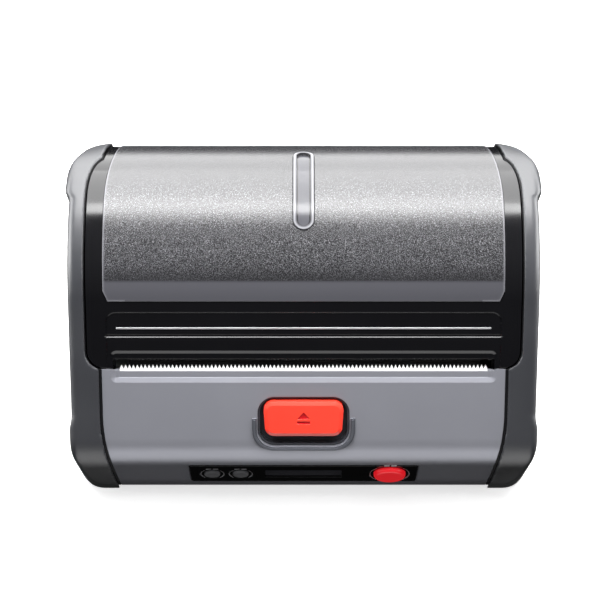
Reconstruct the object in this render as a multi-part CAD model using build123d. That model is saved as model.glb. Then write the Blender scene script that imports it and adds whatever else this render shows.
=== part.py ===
from build123d import *
import os
from math import acos, atan2, ceil, cos, degrees, hypot, pi, radians, sin, sqrt, tan

# Portable receipt printer for rolls 112 mm wide, lying on its base. Millimetres.
# X runs to the right seen from the front, Y to the rear and Z up.

# Casing, seen from the side
BODY_DEPTH = 105.3
BODY_TOP = 64.0
BODY_BOTTOM = 1.0
DECK_SLOPE = 30.5
DECK_RUN = 17.0
PANEL_LEAN = 12.0
KNEE_HEIGHT = 13.3
FOOT_RADIUS = 6.0
REAR_FOOT_RADIUS = 8.0
KNEE_RADIUS = 20.0
SHOULDER_RADIUS = 14.0
WALL = 2.0

# Casing, seen from above
COVER_HALF = 65.8
PAPER_MARGIN = 9.8
COVER_GAP = 0.4
END_WALL = 2.0
PLAN_RADIUS = 11.0
SEAM = 0.15
NARROW_STEP = 3.8
NARROW_REAR_STEP = 6.2
NARROW_START = 12.0
EAR_SETBACK = 29.5
EAR_RADIUS = 4.6
STEP_SETBACK = 11.0
STEP_WIDTH = 4.9
STEP_LENGTH = 15.6
FRONT_STEP = 4.3
FRONT_STRIP = 0.9
RUBBER_GAP = 0.65
FRONT_CURVE_SETBACK = 16.0
FRONT_CURVE_RADIUS = 40.0
FRONT_BOTTOM = 5.0

# Rubber bumpers over the two ends
BUMPER_PROUD = 1.0
BUMPER_WALL = 3.2
REAR_BULGE = 1.5
FRONT_BULGE = 0.7
REAR_BULGE_SETBACK = 24.0
FRONT_BULGE_SETBACK = 14.0
BUMPER_RADIUS = 9.5
REAR_BUMPER_RADIUS = 17.0
BULGE_RADIUS = 1.5
BULGE_RAMP = 2.0
BUMPER_EDGE = 1.6

# Cover hinge
HINGE_SETBACK = 2.7
HINGE_RISE = 5.0
HINGE_SEAT = 3.6
BARREL_RADIUS = 2.5
HINGE_PIN_RADIUS = 1.2
BARREL_INSET = 6.4
KNUCKLE_LENGTH = 7.4
KNUCKLE_GAP = 0.4
PIN_DEPTH = 7.0
PIN_END_GAP = 0.5
BRACKET_STEP = 0.6
BRACKET_DROP = 6.0
KNUCKLE_SPACE = (6.0, 1.2)
RUNNING = 0.05

# Cover window, its clear gauge and its ribs
WINDOW_STRIP = 5.2
WINDOW_PROUD = 0.3
WINDOW_THICKNESS = 1.35
WINDOW_REAR_ANGLE = 20.0
WINDOW_FRONT_SETBACK = 0.6
WINDOW_LEDGE = 1.8
WINDOW_FIT = 0.1
WINDOW_CURVE_SETBACK = 28.6
WINDOW_CURVE_RADIUS = 110.0
WINDOW_CORNER = 0.8
WINDOW_FRONT_CORNER = (1.5, 3.0)
RIB_PITCH = 14.6
RIB_COUNT = 6
RIB_WIDTH = 0.8
RIB_DEPTH = 0.9
RIB_INSET = 6.0
RIB_LAP = 0.2
GAUGE_HALF = 3.2
GAUGE_RIM = 1.1
GAUGE_START = 38.0
GAUGE_END = 88.4
GAUGE_PROUD = 0.5

# Sloping deck, paper exit and tear bar; A is measured up the slope from the exit
EXIT_SETBACK = 31.0
LIP_A = 0.75
HOUSING_A = -0.9
NOTCH_MARGIN = 2.1
EXIT_MARGIN = 3.5
EXIT_DEPTH = 0.8
EXIT_TOP_A = 4.2
EXIT_BEVEL = 65.0
EXIT_HEIGHT = 16.2
EXIT_RADIUS = 2.5
PEEL_A = 10.7
PEEL_RADIUS = 0.3
PEEL_MARGIN = 0.9
PEEL_FIT = 0.02
PEEL_END_GAP = 0.2
PEEL_EDGE = 0.2
GROOVE_A = 8.2
GROOVE_MARGIN = 4.3
GROOVE_WIDTH = 1.0
GROOVE_DEPTH = 0.4
GROOVE_BEVEL = 45
FIELD_BEVEL = 30
FIELD_START_A = -4.0
FIELD_END_A = 15.8
FIELD_MARGIN = 3.9
FIELD_DEPTH = 0.3
FIELD_RADIUS = 3.0
RECESS_MARGIN = 2.8
RECESS_A = -6.6
RECESS_DEPTH = 0.7
RECESS_HEIGHT = 10.6
RECESS_RADIUS = 1.8
TEAR_MARGIN = 0.1
TEAR_TIP_A = -1.3
TEAR_EDGE_A = -3.1
TEAR_ROOT_A = -7.4
TEAR_THICKNESS = 0.7
TEAR_TOP_B = -0.75
TEAR_FIT = 0.2
TEAR_PLAY = 0.02
LEDGE_THICKNESS = 1.0
LEDGE_MARGIN = 1.0
LEDGE_LAP = 0.1
TEETH_COUNT = 94
TOOTH_DEPTH = 1.3
TOOTH_TIP = 0.06
TOOTH_GAP = 0.2

# Release button on the slope
BUTTON_WIDTH = 24.8
BUTTON_HEIGHT = 11.1
BUTTON_A = -17.95
BUTTON_RADIUS = 2.9
BUTTON_TOP_B = 1.7
BUTTON_BOTTOM_B = -1.6
BUTTON_BEVEL = 1.1
BUTTON_TAPER = 0.7
WELL_HALF = 14.1
WELL_TOP_A = -11.2
WELL_BOTTOM_A = -27.2
WELL_RADIUS = 5.2
WELL_WALL = 0.5
WELL_FLOOR_B = -3.4
WELL_FLOOR = 1.0
WELL_FLANGE = 1.6
WELL_FLANGE_B = -3.5
WELL_EDGE = 0.5
STEM_FIT = 0.2
SEAT_PLAY = 0.02
STEM_WIDTH = 6.4
STEM_HEIGHT = 3.0
STEM_GAP = 0.35
MARK_DEPTH = 0.3
MARK_HALF = 2.0
MARK_TRIANGLE = (0.1, 2.3)
MARK_BAR = 0.9
MARK_BAR_PLACE = -1.1
LIP_WIDTH = 1.4
LIP_OFFSET = 0.3
LIP_STEPS = ((0.0, 0.55), (0.35, 0.95))
LIP_ROOT = 2.0
LIP_START_A = -18.1

# Control panel on the leaning face; T is measured up the face from the panel's centre
PANEL_RISE = 7.4
PANEL_TOP_HALF = 35.8
PANEL_BOTTOM_HALF = 35.4
PANEL_HEIGHT = 13.2
PANEL_CORNER = 0.8
BEZEL_PROUD = 0.25
BEZEL_FLANGE = 1.1
BEZEL_MARGIN = 1.5
BEZEL_CHAMFER = 0.2
BEZEL_POST_RADIUS = 1.3
KEY_RADIUS = 2.5
KEY_PROUD = 0.45
KEY_XS = (-28.6, -19.7)
POWER_RADIUS = 5.0
POWER_PROUD = 1.3
POWER_X = 27.0
KEY_FIT = 0.1
KEY_FLANGE = 0.7
KEY_FLANGE_DEPTH = 0.9
KEY_TRAVEL = 0.4
KEY_PLAY = 0.1
KEY_RING = 1.2
KEY_RING_DEPTH = 0.15
KEY_DOME = 0.8
DISPLAY_WIDTH = 24.0
DISPLAY_HEIGHT = 5.9
DISPLAY_GLASS = 1.4
DISPLAY_MARGIN = 2.6
DISPLAY_FIT = 0.1
DISPLAY_SINK = 1.6
DISPLAY_CORNER = 0.5
DISPLAY_FRAME = 1.5
KEY_BOARD_DEPTH = 7.0
BOARD_THICKNESS = 1.2
SWITCH_SIZE = 4.5
SWITCH_HEIGHT = 1.7
SWITCH_STEM_RADIUS = 1.1
SWITCH_FIT = 0.08

# Platen, gears and motor
PLATEN_A = 4.3
PLATEN_B = -8.0
PLATEN_RADIUS = 4.2
PLATEN_INSET = 0.1
SHAFT_RADIUS = 1.5
BUSHING_RADIUS = 3.5
ARM_GAP = 0.3
ARM_WIDTH = 1.2
ARM_WALL = 1.2
ARM_REACH = (4.2, 6.0)
ARM_LAP = 0.2
SHAFT_END = 0.4
BUSHING_END = 0.3
PLATE_MARGIN = 3.0
PLATE_WALL = 1.0
SLOT_FIT = 0.3
GEAR_MODULE = 0.6
PLATEN_TEETH = 18
IDLER_TEETH = 24
PINION_TEETH = 12
GEAR_WIDTH = 2.6
GEAR_GAP = 0.7
PRESSURE_ANGLE = 20.0
DEDENDUM = 1.25
BACKLASH = 0.12
FLANK_STEPS = 5
STUD_RADIUS = 1.3
STUD_HEAD = 0.9
STUD_HEAD_WIDTH = 0.7
STUD_END = 0.3
PRESS_END = 0.2
MOTOR_RADIUS = 10.0
MOTOR_LENGTH = 18.0
MOTOR_EDGE = 0.6
MOTOR_NOSE = 1.0
MOTOR_FIT = 0.1
MOTOR_SHAFT_END = 0.5
MOTOR_ANGLE = 209.6

# Print head
HEAD_INSET = 2.0
HEAD_GAP = 0.2
HEAD_STRIP = 1.0
HEAD_PLATE = 3.0
HEAD_TOP_B = -4.0
HEAD_PIVOT_B = -22.0
HEAD_PIVOT_RADIUS = 1.25
HEAD_PIVOT_WALL = 1.1
HEAD_STRIP_DROP = 0.5
HEAD_STRIP_HEIGHT = 8.5
FIN_COUNT = 7
FIN_PITCH = 2.2
FIN_START = 3.0
FIN_WIDTH = 1.0
FIN_DEPTH = 0.8
FIN_MARGIN = 3.0
HEAD_SPRING_TURNS = 5
HEAD_SPRING_PLAY = 0.05
BUTTON_SPRING_TURNS = 3
HEAD_SPRING_B = -12.0
HEAD_SPRING_X = 25.0
HEAD_SPRING_RADIUS = 2.4
HEAD_SPRING_START_A = -14.3
WIRE = 0.5
SPRING_END = 0.3

# Latch behind the release button
LATCH_A = -9.0
LATCH_B = -6.2
LATCH_SHAFT_RADIUS = 1.25
LATCH_THICKNESS = 1.5
LATCH_BOSS = 1.0
LATCH_TAIL_HALF = 11.0
LATCH_TAIL_A = -20.5
LATCH_NOSE_A = 0.7
HOOK_MARGIN = 2.2
HOOK_WIDTH = 1.0
HOOK_STEP = 0.2

# Paper bay
TROUGH_BOTTOM = 14.5
TROUGH_GAP = 14.5
TROUGH_WALL = 1.6
TROUGH_FIT = 0.6
TROUGH_SPAN = 62.0
SHELF_GAP = 0.5
SHELF_DROP = (3.6, 2.0)
SHELF_END = 0.1
SHELF_ROOT = (1.2, 0.4, 0.4, 1.4)
LEG_HALF = (3.0, 1.5)
LEG_TOP = 10.0
LEG_LAP = 0.5
GUIDE_ROOT = 3.0
GUIDE_END_GAP = 0.5
LEG_SPACING = 34.0
LEG_INSET = 1.0
GUIDE_MARGIN = 0.7
GUIDE_THICKNESS = 2.0
GUIDE_INSET = 4.5
GUIDE_TRAVEL = 26.0
GUIDE_NECK = 2.2
GUIDE_FIT = 0.3
GUIDE_FLAT = 9.0
GUIDE_POST_RADIUS = 1.4
RACK_Z = 10.9
RACK_THICKNESS = 1.4
RACK_WIDTH = 2.4
RACK_MODULE = 0.8
GUIDE_PINION_TEETH = 12
HUB_RADIUS = 6.2
HUB_LENGTH = 5.0
HUB_PIN_RADIUS = 1.6
HUB_GAP = 0.3
HUB_CHAMFER = 1.2

# Power
BATTERY_MARGIN = 2.0
BATTERY_BOTTOM = 3.3
BATTERY_TOP = 10.3
BATTERY_GAP = 5.0
BATTERY_FIT = 0.35
CAP_DEPTH = 3.0
SOCKET_INSET = 5.0
SOCKET_Z = 15.5
SOCKET_WIDTH = 9.0
SOCKET_HEIGHT = 3.3
FLAP_WIDTH = 14.0
FLAP_HEIGHT = 8.4
FLAP_THICKNESS = 1.2
FLAP_PIN_RADIUS = 0.6
FLAP_PIN_END = 1.2
FLAP_FIT = 0.3
SOCKET_RIM = 0.5
SOCKET_REACH = 7.5
SOCKET_LEAD = 0.6
SOCKET_BACK = 0.5
SOCKET_WALL = 1.5
SOCKET_RADIUS = 1.2
SOCKET_SHELL = 0.2
TONGUE_HALF = 3.0
TONGUE_THICKNESS = 0.6
TONGUE_SINK = 1.0
FLAP_REST = 0.2
FLAP_CORNER = 1.5
BATTERY_CORNER = 1.5
GRIP_COUNT = 9
GRIP_PITCH = 3.0
GRIP_WIDTH = 1.2
GRIP_DEPTH = 0.7
GRIP_MARGIN = 2.0

# Boards and screws
MAIN_BOARD_REACH = 19.5
MAIN_BOARD_DEPTH = 22.0
MAIN_BOARD_MARGIN = 4.0
MAIN_BOARD_Z = 5.0
CHASSIS_REACH = 17.0
CHASSIS_DEPTH = 28.7
CHASSIS_FLOOR = 9.5
CHASSIS_FLOOR_DEPTH = 18.0
CHASSIS_SHEET = 1.2
CHASSIS_FOOT = 0.1
CHASSIS_CLEAR = 0.7
CHASSIS_SHOULDER = (-3.6, 2.2)
CHASSIS_HORN = (1.6, 2.6)
CHASSIS_SLOT_TOP = 12.0
CHASSIS_SLOT_FLARE = (0.8, 2.0)
WEB_STEP = 8.0
WEB_HALF = 36.0
SEAT_DEPTH = 4.0
SEAT_WALL = 0.8
BORE_FIT = 0.3
SCREW_RADIUS = 1.25
SCREW_HEAD_RADIUS = 2.3
SCREW_HEAD = 1.3
SCREW_EDGE = 0.5
SCREW_FIT = 0.2
SCREW_HEAD_FIT = 0.3
CROSS_LENGTH = 3.0
CROSS_WIDTH = 0.5
CROSS_DEPTH = 0.7
BOARD_SCREW_LENGTH = 3.0
CHASSIS_SCREW_LENGTH = 6.0
HOUSING_SCREW_SINK = 1.4
BOARD_BOSS = 2.4
CHASSIS_BOSS = 3.0

# Small places that several pieces share
SKIRT_WALL = 1.6
SKIRT_DEPTH = 8.0
SKIRT_LOW = 44.0
SKIRT_REAR = 14.0
SKIRT_FRONT = 1.0
BUTTON_SHELL = 1.3
SPRING_GAP = 0.15
MOTOR_SHAFT_RADIUS = 1.0
WEB_TOP = 34.0
RACK_OVERRUN = 12.0
SENSOR_A = 12.0
SENSOR_LENGTH = 6.0
SENSOR_HALF = 5.0
SENSOR_DEPTH = 3.4
SENSOR_EYE = 1.0
SCREW_INSET = 4.0
HOUSING_SCREW_SETBACK = 8.15
HOUSING_SCREW_LENGTH = 8.0
HOUSING_BOSS = 3.2
HOUSING_BOSS_TOP = 22.0
HOUSING_RIB = 1.6
HOUSING_RIB_STEP = 2.0
BOSS_GAP = 0.1
BOSS_HOLE_END = 3.0
BOARD_SCREW_INSET = 3.0
BOARD_SCREW_STEPS = (2.5, 19.5)
CHASSIS_SCREW_STEPS = (3.0, 15.0)
BEZEL_POST_XS = (-34.0, -14.5, 14.5, 34.0)
BOARD_PARTS = (
    (-10.0, 11.5, 12.0, 12.0, 1.2),
    (12.0, 10.5, 8.0, 8.0, 1.0),
    (-30.0, 7.5, 10.0, 5.0, 3.0),
    (28.0, 16.5, 14.0, 4.0, 2.6),
    (26.0, 5.5, 5.0, 5.0, 2.8),
    (0.0, 18.5, 24.0, 3.0, 2.0),
)

# Widths, from the paper's and the cover's
PAPER_HALF = COVER_HALF - PAPER_MARGIN
NARROW_HALF = COVER_HALF - NARROW_STEP
NARROW_REAR_HALF = COVER_HALF - NARROW_REAR_STEP
FRONT_HALF = COVER_HALF - FRONT_STEP
WINDOW_HALF = COVER_HALF - WINDOW_STRIP
BARREL_HALF = PAPER_HALF - BARREL_INSET
NOTCH_HALF = PAPER_HALF + NOTCH_MARGIN
EXIT_HALF = PAPER_HALF + EXIT_MARGIN
PEEL_HALF = PAPER_HALF + PEEL_MARGIN
GROOVE_HALF = PAPER_HALF + GROOVE_MARGIN
FIELD_HALF = PAPER_HALF + FIELD_MARGIN
RECESS_HALF = PAPER_HALF + RECESS_MARGIN
TEAR_HALF = PAPER_HALF + TEAR_MARGIN
PLATEN_HALF = PAPER_HALF - PLATEN_INSET
HEAD_HALF = PAPER_HALF - HEAD_INSET
ARM_INNER = PLATEN_HALF + ARM_GAP
ARM_OUTER = ARM_INNER + ARM_WIDTH
PLATE_INNER = PAPER_HALF + PLATE_MARGIN
PLATE_OUTER = PLATE_INNER + PLATE_WALL
GEAR_X = -PLATE_OUTER - GEAR_GAP
RIM_X = GEAR_X - GEAR_WIDTH
HOOK_X = PAPER_HALF + HOOK_MARGIN
GUIDE_X = PAPER_HALF + GUIDE_MARGIN
SOCKET_X = PAPER_HALF - SOCKET_INSET
BATTERY_HALF = SOCKET_X - FLAP_WIDTH / 2 - BATTERY_MARGIN
SHELF_HALF = SOCKET_X - SOCKET_WIDTH / 2 - SOCKET_RIM - SHELF_GAP
HOUSING_SCREW_X = PAPER_HALF - SCREW_INSET
CHASSIS_SCREW_X = PAPER_HALF - SCREW_INSET
MAIN_BOARD_HALF = CHASSIS_SCREW_X - CHASSIS_BOSS - MAIN_BOARD_MARGIN
BOARD_SCREW_X = MAIN_BOARD_HALF - BOARD_SCREW_INSET
END_INNER = COVER_HALF + COVER_GAP
END_HALF = END_INNER + END_WALL
TROUGH_HALF = END_INNER - TROUGH_FIT

# Depths and heights, from the casing's form
HALF_DEPTH = BODY_DEPTH / 2
SLOPE = radians(DECK_SLOPE)
LEAN = radians(PANEL_LEAN)
COVER_RADIUS = (BODY_DEPTH - EXIT_SETBACK - DECK_RUN) / (1 + sin(SLOPE))
ARC_Y = HALF_DEPTH - COVER_RADIUS
ARC_Z = BODY_TOP - COVER_RADIUS
DECK_Y = ARC_Y - COVER_RADIUS * sin(SLOPE)
DECK_Z = ARC_Z + COVER_RADIUS * cos(SLOPE)
EAR_Y = EAR_SETBACK - HALF_DEPTH
EXIT_Y = EXIT_SETBACK - HALF_DEPTH
EXIT_Z = DECK_Z - DECK_RUN * tan(SLOPE)
HINGE_Y = HALF_DEPTH - HINGE_SETBACK
HINGE_HEIGHT = ARC_Z + HINGE_RISE
REAR_WALL_TOP = HINGE_HEIGHT - HINGE_SEAT
TROUGH_RADIUS = COVER_RADIUS - TROUGH_GAP
TROUGH_OUTER = TROUGH_RADIUS + TROUGH_WALL
GUIDE_RADIUS = TROUGH_RADIUS - GUIDE_INSET
ROLL_Y = ARC_Y
ROLL_Z = TROUGH_BOTTOM + TROUGH_RADIUS
BAY = (ROLL_Y, ROLL_Z)
BATTERY_FRONT = EXIT_Y + BATTERY_GAP
MAIN_BOARD_FRONT = EXIT_Y - MAIN_BOARD_REACH
MAIN_BOARD_REAR = MAIN_BOARD_FRONT + MAIN_BOARD_DEPTH
BOARD_SCREW_YS = [MAIN_BOARD_FRONT + step for step in BOARD_SCREW_STEPS]
CHASSIS_FRONT = EXIT_Y - CHASSIS_REACH
CHASSIS_REAR = CHASSIS_FRONT + CHASSIS_DEPTH
CHASSIS_FLOOR_REAR = CHASSIS_FRONT + CHASSIS_FLOOR_DEPTH
CHASSIS_SCREW_YS = [CHASSIS_FRONT + step for step in CHASSIS_SCREW_STEPS]
HOUSING_SCREW_Y = HOUSING_SCREW_SETBACK - HALF_DEPTH
FLAP_PIN_Y = HALF_DEPTH - FLAP_THICKNESS + FLAP_PIN_RADIUS + FLAP_REST
FLAP_PIN_Z = SOCKET_Z - FLAP_HEIGHT / 2 - FLAP_PIN_RADIUS
BUTTON_SPRING_RADIUS = BUTTON_HEIGHT / 2 - BUTTON_SHELL - SPRING_GAP - WIRE / 2
RACK_PITCH = pi * RACK_MODULE
RACK_PITCH_LINE = GUIDE_PINION_TEETH * RACK_MODULE / 2
RACK_OFFSET = RACK_PITCH_LINE + DEDENDUM * RACK_MODULE + RACK_WIDTH / 2
FAR = 200.0
FAN_STEPS = 4

# Local frames: the deck's plane at the paper exit, and the control panel's plane
DECK = Plane(origin=(0, EXIT_Y, EXIT_Z), x_dir=(1, 0, 0), z_dir=(0, -sin(SLOPE), cos(SLOPE)))
PANEL = Plane(
    origin=(0, PANEL_RISE * sin(LEAN) - HALF_DEPTH, KNEE_HEIGHT + PANEL_RISE * cos(LEAN)),
    x_dir=(1, 0, 0),
    z_dir=(0, -cos(LEAN), sin(LEAN)),
)


def deck_point(a, b):
    """The (y, z) place of a point a up the slope from the exit and b out of the deck."""
    return (EXIT_Y + a * cos(SLOPE) - b * sin(SLOPE), EXIT_Z + a * sin(SLOPE) + b * cos(SLOPE))


def block(x0, x1, y0, y1, z0, z1):
    return Pos((x0 + x1) / 2, (y0 + y1) / 2, (z0 + z1) / 2) * Box(x1 - x0, y1 - y0, z1 - z0)


def deck_block(x0, x1, a0, a1, b0, b1):
    return DECK * block(x0, x1, a0, a1, b0, b1)


def rod(radius, x0, x1, y, z):
    """A round bar along X."""
    return Pos((x0 + x1) / 2, y, z) * Rot(0, 90, 0) * Cylinder(radius, x1 - x0)


def post(radius, x, y, z0, z1):
    """A round bar along Z."""
    return Pos(x, y, (z0 + z1) / 2) * Cylinder(radius, z1 - z0)


def side_prism(points, x0, x1):
    """A prism along X whose outline is given as (y, z) points."""
    face = make_face(Polyline(*points, close=True))
    return extrude(Plane((x0, 0, 0), x_dir=(0, 1, 0), z_dir=(1, 0, 0)) * face, amount=x1 - x0)


def plan_prism(face, z0, z1):
    return extrude(Pos(0, 0, z0) * face, amount=z1 - z0)


def both_sides(shape):
    return shape + mirror(shape, about=Plane.YZ)


def crossing(point_a, angle_a, point_b, angle_b):
    """Where two lines in the (y, z) plane meet; angles in radians from +Y."""
    ay, az = cos(angle_a), sin(angle_a)
    by, bz = cos(angle_b), sin(angle_b)
    dy, dz = point_b[0] - point_a[0], point_b[1] - point_a[1]
    step = (dy * bz - dz * by) / (ay * bz - az * by)
    return (point_a[0] + step * ay, point_a[1] + step * az)


def side_profile(grow):
    """The casing's outline from the side, moved outwards by grow."""
    bottom, front, rear = BODY_BOTTOM - grow, -HALF_DEPTH - grow, HALF_DEPTH + grow
    panel = (-HALF_DEPTH - grow * cos(LEAN), KNEE_HEIGHT + grow * sin(LEAN))
    deck = (DECK_Y - grow * sin(SLOPE), DECK_Z + grow * cos(SLOPE))
    knee = crossing((front, 0), pi / 2, panel, pi / 2 - LEAN)
    shoulder = crossing(panel, pi / 2 - LEAN, deck, SLOPE)
    crown = crossing(deck, SLOPE, (rear, 0), pi / 2)
    corners = [(front, bottom), knee, shoulder, crown, (rear, bottom)]
    radii = [FOOT_RADIUS, KNEE_RADIUS, SHOULDER_RADIUS, COVER_RADIUS, REAR_FOOT_RADIUS]
    rounded = [max(radius + grow, 0.5) for radius in radii]
    return make_face(FilletPolyline(*corners, radius=rounded, close=True))


def side_solid(grow, half):
    return extrude(Plane.YZ * side_profile(grow), amount=half, both=True)


def envelope(grow):
    """The casing's outer form, moved outwards by grow."""
    plan = RectangleRounded(2 * (END_HALF + grow), BODY_DEPTH + 2 * grow, PLAN_RADIUS + grow)
    return side_solid(grow, END_HALF + grow) & plan_prism(plan, -FAR, FAR)


def front_plan(gap):
    """The front housing's outline from above, with its sides curving in towards the front."""
    half = FRONT_HALF + gap
    curve_y = FRONT_CURVE_SETBACK - HALF_DEPTH
    straight = Pos(0, (curve_y + EAR_Y) / 2) * Rectangle(2 * half, EAR_Y - curve_y)
    offset_x = FRONT_HALF - FRONT_CURVE_RADIUS
    discs = Pos(offset_x, curve_y) * Circle(FRONT_CURVE_RADIUS + gap)
    discs += Pos(-offset_x, curve_y) * Circle(FRONT_CURVE_RADIUS + gap)
    lower = Pos(0, curve_y - FRONT_CURVE_RADIUS / 2) * Rectangle(FAR, FRONT_CURVE_RADIUS)
    return straight + (discs & lower)


def narrow_plan(gap):
    """The cover's outline from above where it runs between the bumpers' rear corners."""
    front, rear = EAR_Y - gap, HALF_DEPTH + 4.0
    half, rear_half = NARROW_HALF + gap, NARROW_REAR_HALF + gap
    right = [(half, front), (half, HALF_DEPTH - NARROW_START), (rear_half, rear)]
    left = [(-x, y) for x, y in reversed(right)]
    return make_face(Polyline(*right, *left, close=True))


def wide_plan(gap):
    """The cover's outline from above in front of the step."""
    front, rear = EAR_Y - gap, HALF_DEPTH
    outline = Pos(0, (front + rear) / 2) * Rectangle(2 * (COVER_HALF + gap), rear - front)
    return fillet(outline.vertices().group_by(Axis.Y)[0], EAR_RADIUS + gap)


def hinge_reach(setback):
    """The hinge's distance from the cover's curved surface, at a place so far from the rear."""
    across = HALF_DEPTH - setback - ARC_Y
    return hypot(HINGE_SETBACK - setback, sqrt(COVER_RADIUS**2 - across**2) - HINGE_RISE)


def hinge_step(gap):
    """The round body about the hinge that the cover's side strips end on, rising to the sides."""
    low, high = hinge_reach(STEP_SETBACK), hinge_reach(STEP_SETBACK + STEP_LENGTH)
    start = COVER_HALF - STEP_WIDTH
    curve = Pos(start, high) * Ellipse(STEP_WIDTH + gap, high - low + gap)
    rise = Pos(start + STEP_WIDTH, high / 2) * Rectangle(2 * STEP_WIDTH, high) - curve
    middle = Pos(start / 2, (low - gap) / 2) * Rectangle(start, low - gap)
    turned = revolve(middle + rise, axis=Axis.X)
    return Pos(0, HINGE_Y, HINGE_HEIGHT) * both_sides(turned)


def cover_zone(gap, bottom):
    """The space that belongs to the cover: its side strips end on a step round the hinge."""
    wide = plan_prism(wide_plan(gap), bottom, FAR) - hinge_step(gap)
    return wide + plan_prism(narrow_plan(gap), bottom, FAR)


def arc_sector(outer, inner, start, end, x0, x1, centre=(ARC_Y, ARC_Z)):
    """Part of a ring along X, from one angle to another, in degrees from +Y."""
    reach = 2 * outer
    span = [start + (end - start) * step / FAN_STEPS for step in range(FAN_STEPS + 1)]
    fan = [centre] + [
        (centre[0] + reach * cos(radians(angle)), centre[1] + reach * sin(radians(angle)))
        for angle in span
    ]
    ring = rod(outer, x0, x1, *centre) - rod(inner, x0 - 1, x1 + 1, *centre)
    return ring & side_prism(fan, x0 - 1, x1 + 1)


def coil(radius, wire, length, turns, place):
    """A compression spring along the place's Z."""
    path = Helix(pitch=length / turns, height=length, radius=radius)
    ring = Plane(origin=path @ 0, z_dir=path % 0) * Circle(wire / 2)
    return place * sweep(ring, path=path, is_frenet=True)


def gear_face(teeth, module, phase):
    """A spur gear's outline with involute flanks, one tooth centred on the phase angle."""
    pressure_angle = radians(PRESSURE_ANGLE)
    pitch_radius = teeth * module / 2
    base_radius = pitch_radius * cos(pressure_angle)
    tip_radius = pitch_radius + module
    root_radius = pitch_radius - DEDENDUM * module
    flank_start = max(base_radius, root_radius)
    half_tooth = (pi / 2 - BACKLASH / module / 2) / teeth
    pitch_roll = tan(pressure_angle) - pressure_angle

    def half_angle(radius):
        pressure = acos(min(1.0, base_radius / radius))
        return half_tooth + pitch_roll - (tan(pressure) - pressure)

    rise = (tip_radius - flank_start) / (FLANK_STEPS - 1)
    flank = [flank_start + rise * step for step in range(FLANK_STEPS)]
    profile = [(root_radius, -half_angle(flank_start))]
    profile += [(radius, -half_angle(radius)) for radius in flank]
    profile += [(radius, half_angle(radius)) for radius in reversed(flank)]
    profile += [(root_radius, half_angle(flank_start))]
    points = []
    for tooth in range(teeth):
        centre = phase + tooth * 2 * pi / teeth
        points += [(r * cos(centre + angle), r * sin(centre + angle)) for r, angle in profile]
    return make_face(Polyline(*points, close=True))


def gear(teeth, phase, x0, width, place, bore):
    """A spur gear with its axis along X."""
    face = gear_face(teeth, GEAR_MODULE, phase) - Circle(bore)
    plane = Plane(origin=(x0, place[0], place[1]), x_dir=(0, 1, 0), z_dir=(1, 0, 0))
    return extrude(plane * face, amount=width)


def screw(radius, length):
    """A pan head screw pointing down from the origin, its cross recess cut in the head."""
    head = Pos(0, 0, SCREW_HEAD / 2) * Cylinder(SCREW_HEAD_RADIUS, SCREW_HEAD)
    head = fillet(head.edges().group_by(Axis.Z)[-1], SCREW_EDGE)
    bar = Box(CROSS_LENGTH, CROSS_WIDTH, 2 * CROSS_DEPTH)
    recess = bar + Rot(0, 0, 90) * bar
    return head + Pos(0, 0, -length / 2) * Cylinder(radius, length) - Pos(0, 0, SCREW_HEAD) * recess


# Places shared by the mechanism
PLATEN = deck_point(PLATEN_A, PLATEN_B)
LATCH = deck_point(LATCH_A, LATCH_B)
HEAD_FACE_A = PLATEN_A - PLATEN_RADIUS - HEAD_GAP
HEAD_BACK_A = HEAD_FACE_A - HEAD_STRIP - HEAD_PLATE
HEAD_PIVOT_A = HEAD_FACE_A - HEAD_STRIP - HEAD_PLATE / 2
HEAD_PIVOT = deck_point(HEAD_PIVOT_A, HEAD_PIVOT_B)
LIFT = atan2(HINGE_Y - PLATEN[0], PLATEN[1] - HINGE_HEIGHT)
IDLER_DISTANCE = (PLATEN_TEETH + IDLER_TEETH) * GEAR_MODULE / 2
IDLER = (PLATEN[0] - IDLER_DISTANCE * cos(LIFT), PLATEN[1] - IDLER_DISTANCE * sin(LIFT))
MOTOR_DISTANCE = (IDLER_TEETH + PINION_TEETH) * GEAR_MODULE / 2
MOTOR = (
    IDLER[0] + MOTOR_DISTANCE * cos(radians(MOTOR_ANGLE)),
    IDLER[1] + MOTOR_DISTANCE * sin(radians(MOTOR_ANGLE)),
)


def well_plan(grow):
    """The button well's rounded outline in the deck's plane."""
    width, height = 2 * (WELL_HALF + grow), WELL_TOP_A - WELL_BOTTOM_A + 2 * grow
    place = Pos(0, (WELL_TOP_A + WELL_BOTTOM_A) / 2)
    return place * RectangleRounded(width, height, WELL_RADIUS + grow)


def panel_plan(grow):
    """The control panel's outline, a little narrower at the bottom."""
    top, low = PANEL_HEIGHT / 2 + grow, -PANEL_HEIGHT / 2 - grow
    right = [(PANEL_BOTTOM_HALF + grow, low), (PANEL_TOP_HALF + grow, top)]
    left = [(-x, t) for x, t in reversed(right)]
    return make_face(FilletPolyline(*right, *left, radius=PANEL_CORNER + grow, close=True))


def bumper_plan():
    """The bumpers' outline from above, with the bulges at the four corners."""
    front, rear = -HALF_DEPTH - BUMPER_PROUD, HALF_DEPTH + BUMPER_PROUD
    middle = END_HALF + BUMPER_WALL
    front_step, rear_step = front + FRONT_BULGE_SETBACK, rear - REAR_BULGE_SETBACK
    right = [
        (middle + FRONT_BULGE, front),
        (middle + FRONT_BULGE, front_step),
        (middle, front_step + BULGE_RAMP),
        (middle, rear_step - BULGE_RAMP),
        (middle + REAR_BULGE, rear_step),
        (middle + REAR_BULGE, rear),
    ]
    left = [(-x, y) for x, y in reversed(right)]
    radii = [BUMPER_RADIUS] + 4 * [BULGE_RADIUS] + [REAR_BUMPER_RADIUS]
    rounded = radii + list(reversed(radii))
    return make_face(FilletPolyline(*right, *left, radius=rounded, close=True))


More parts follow.
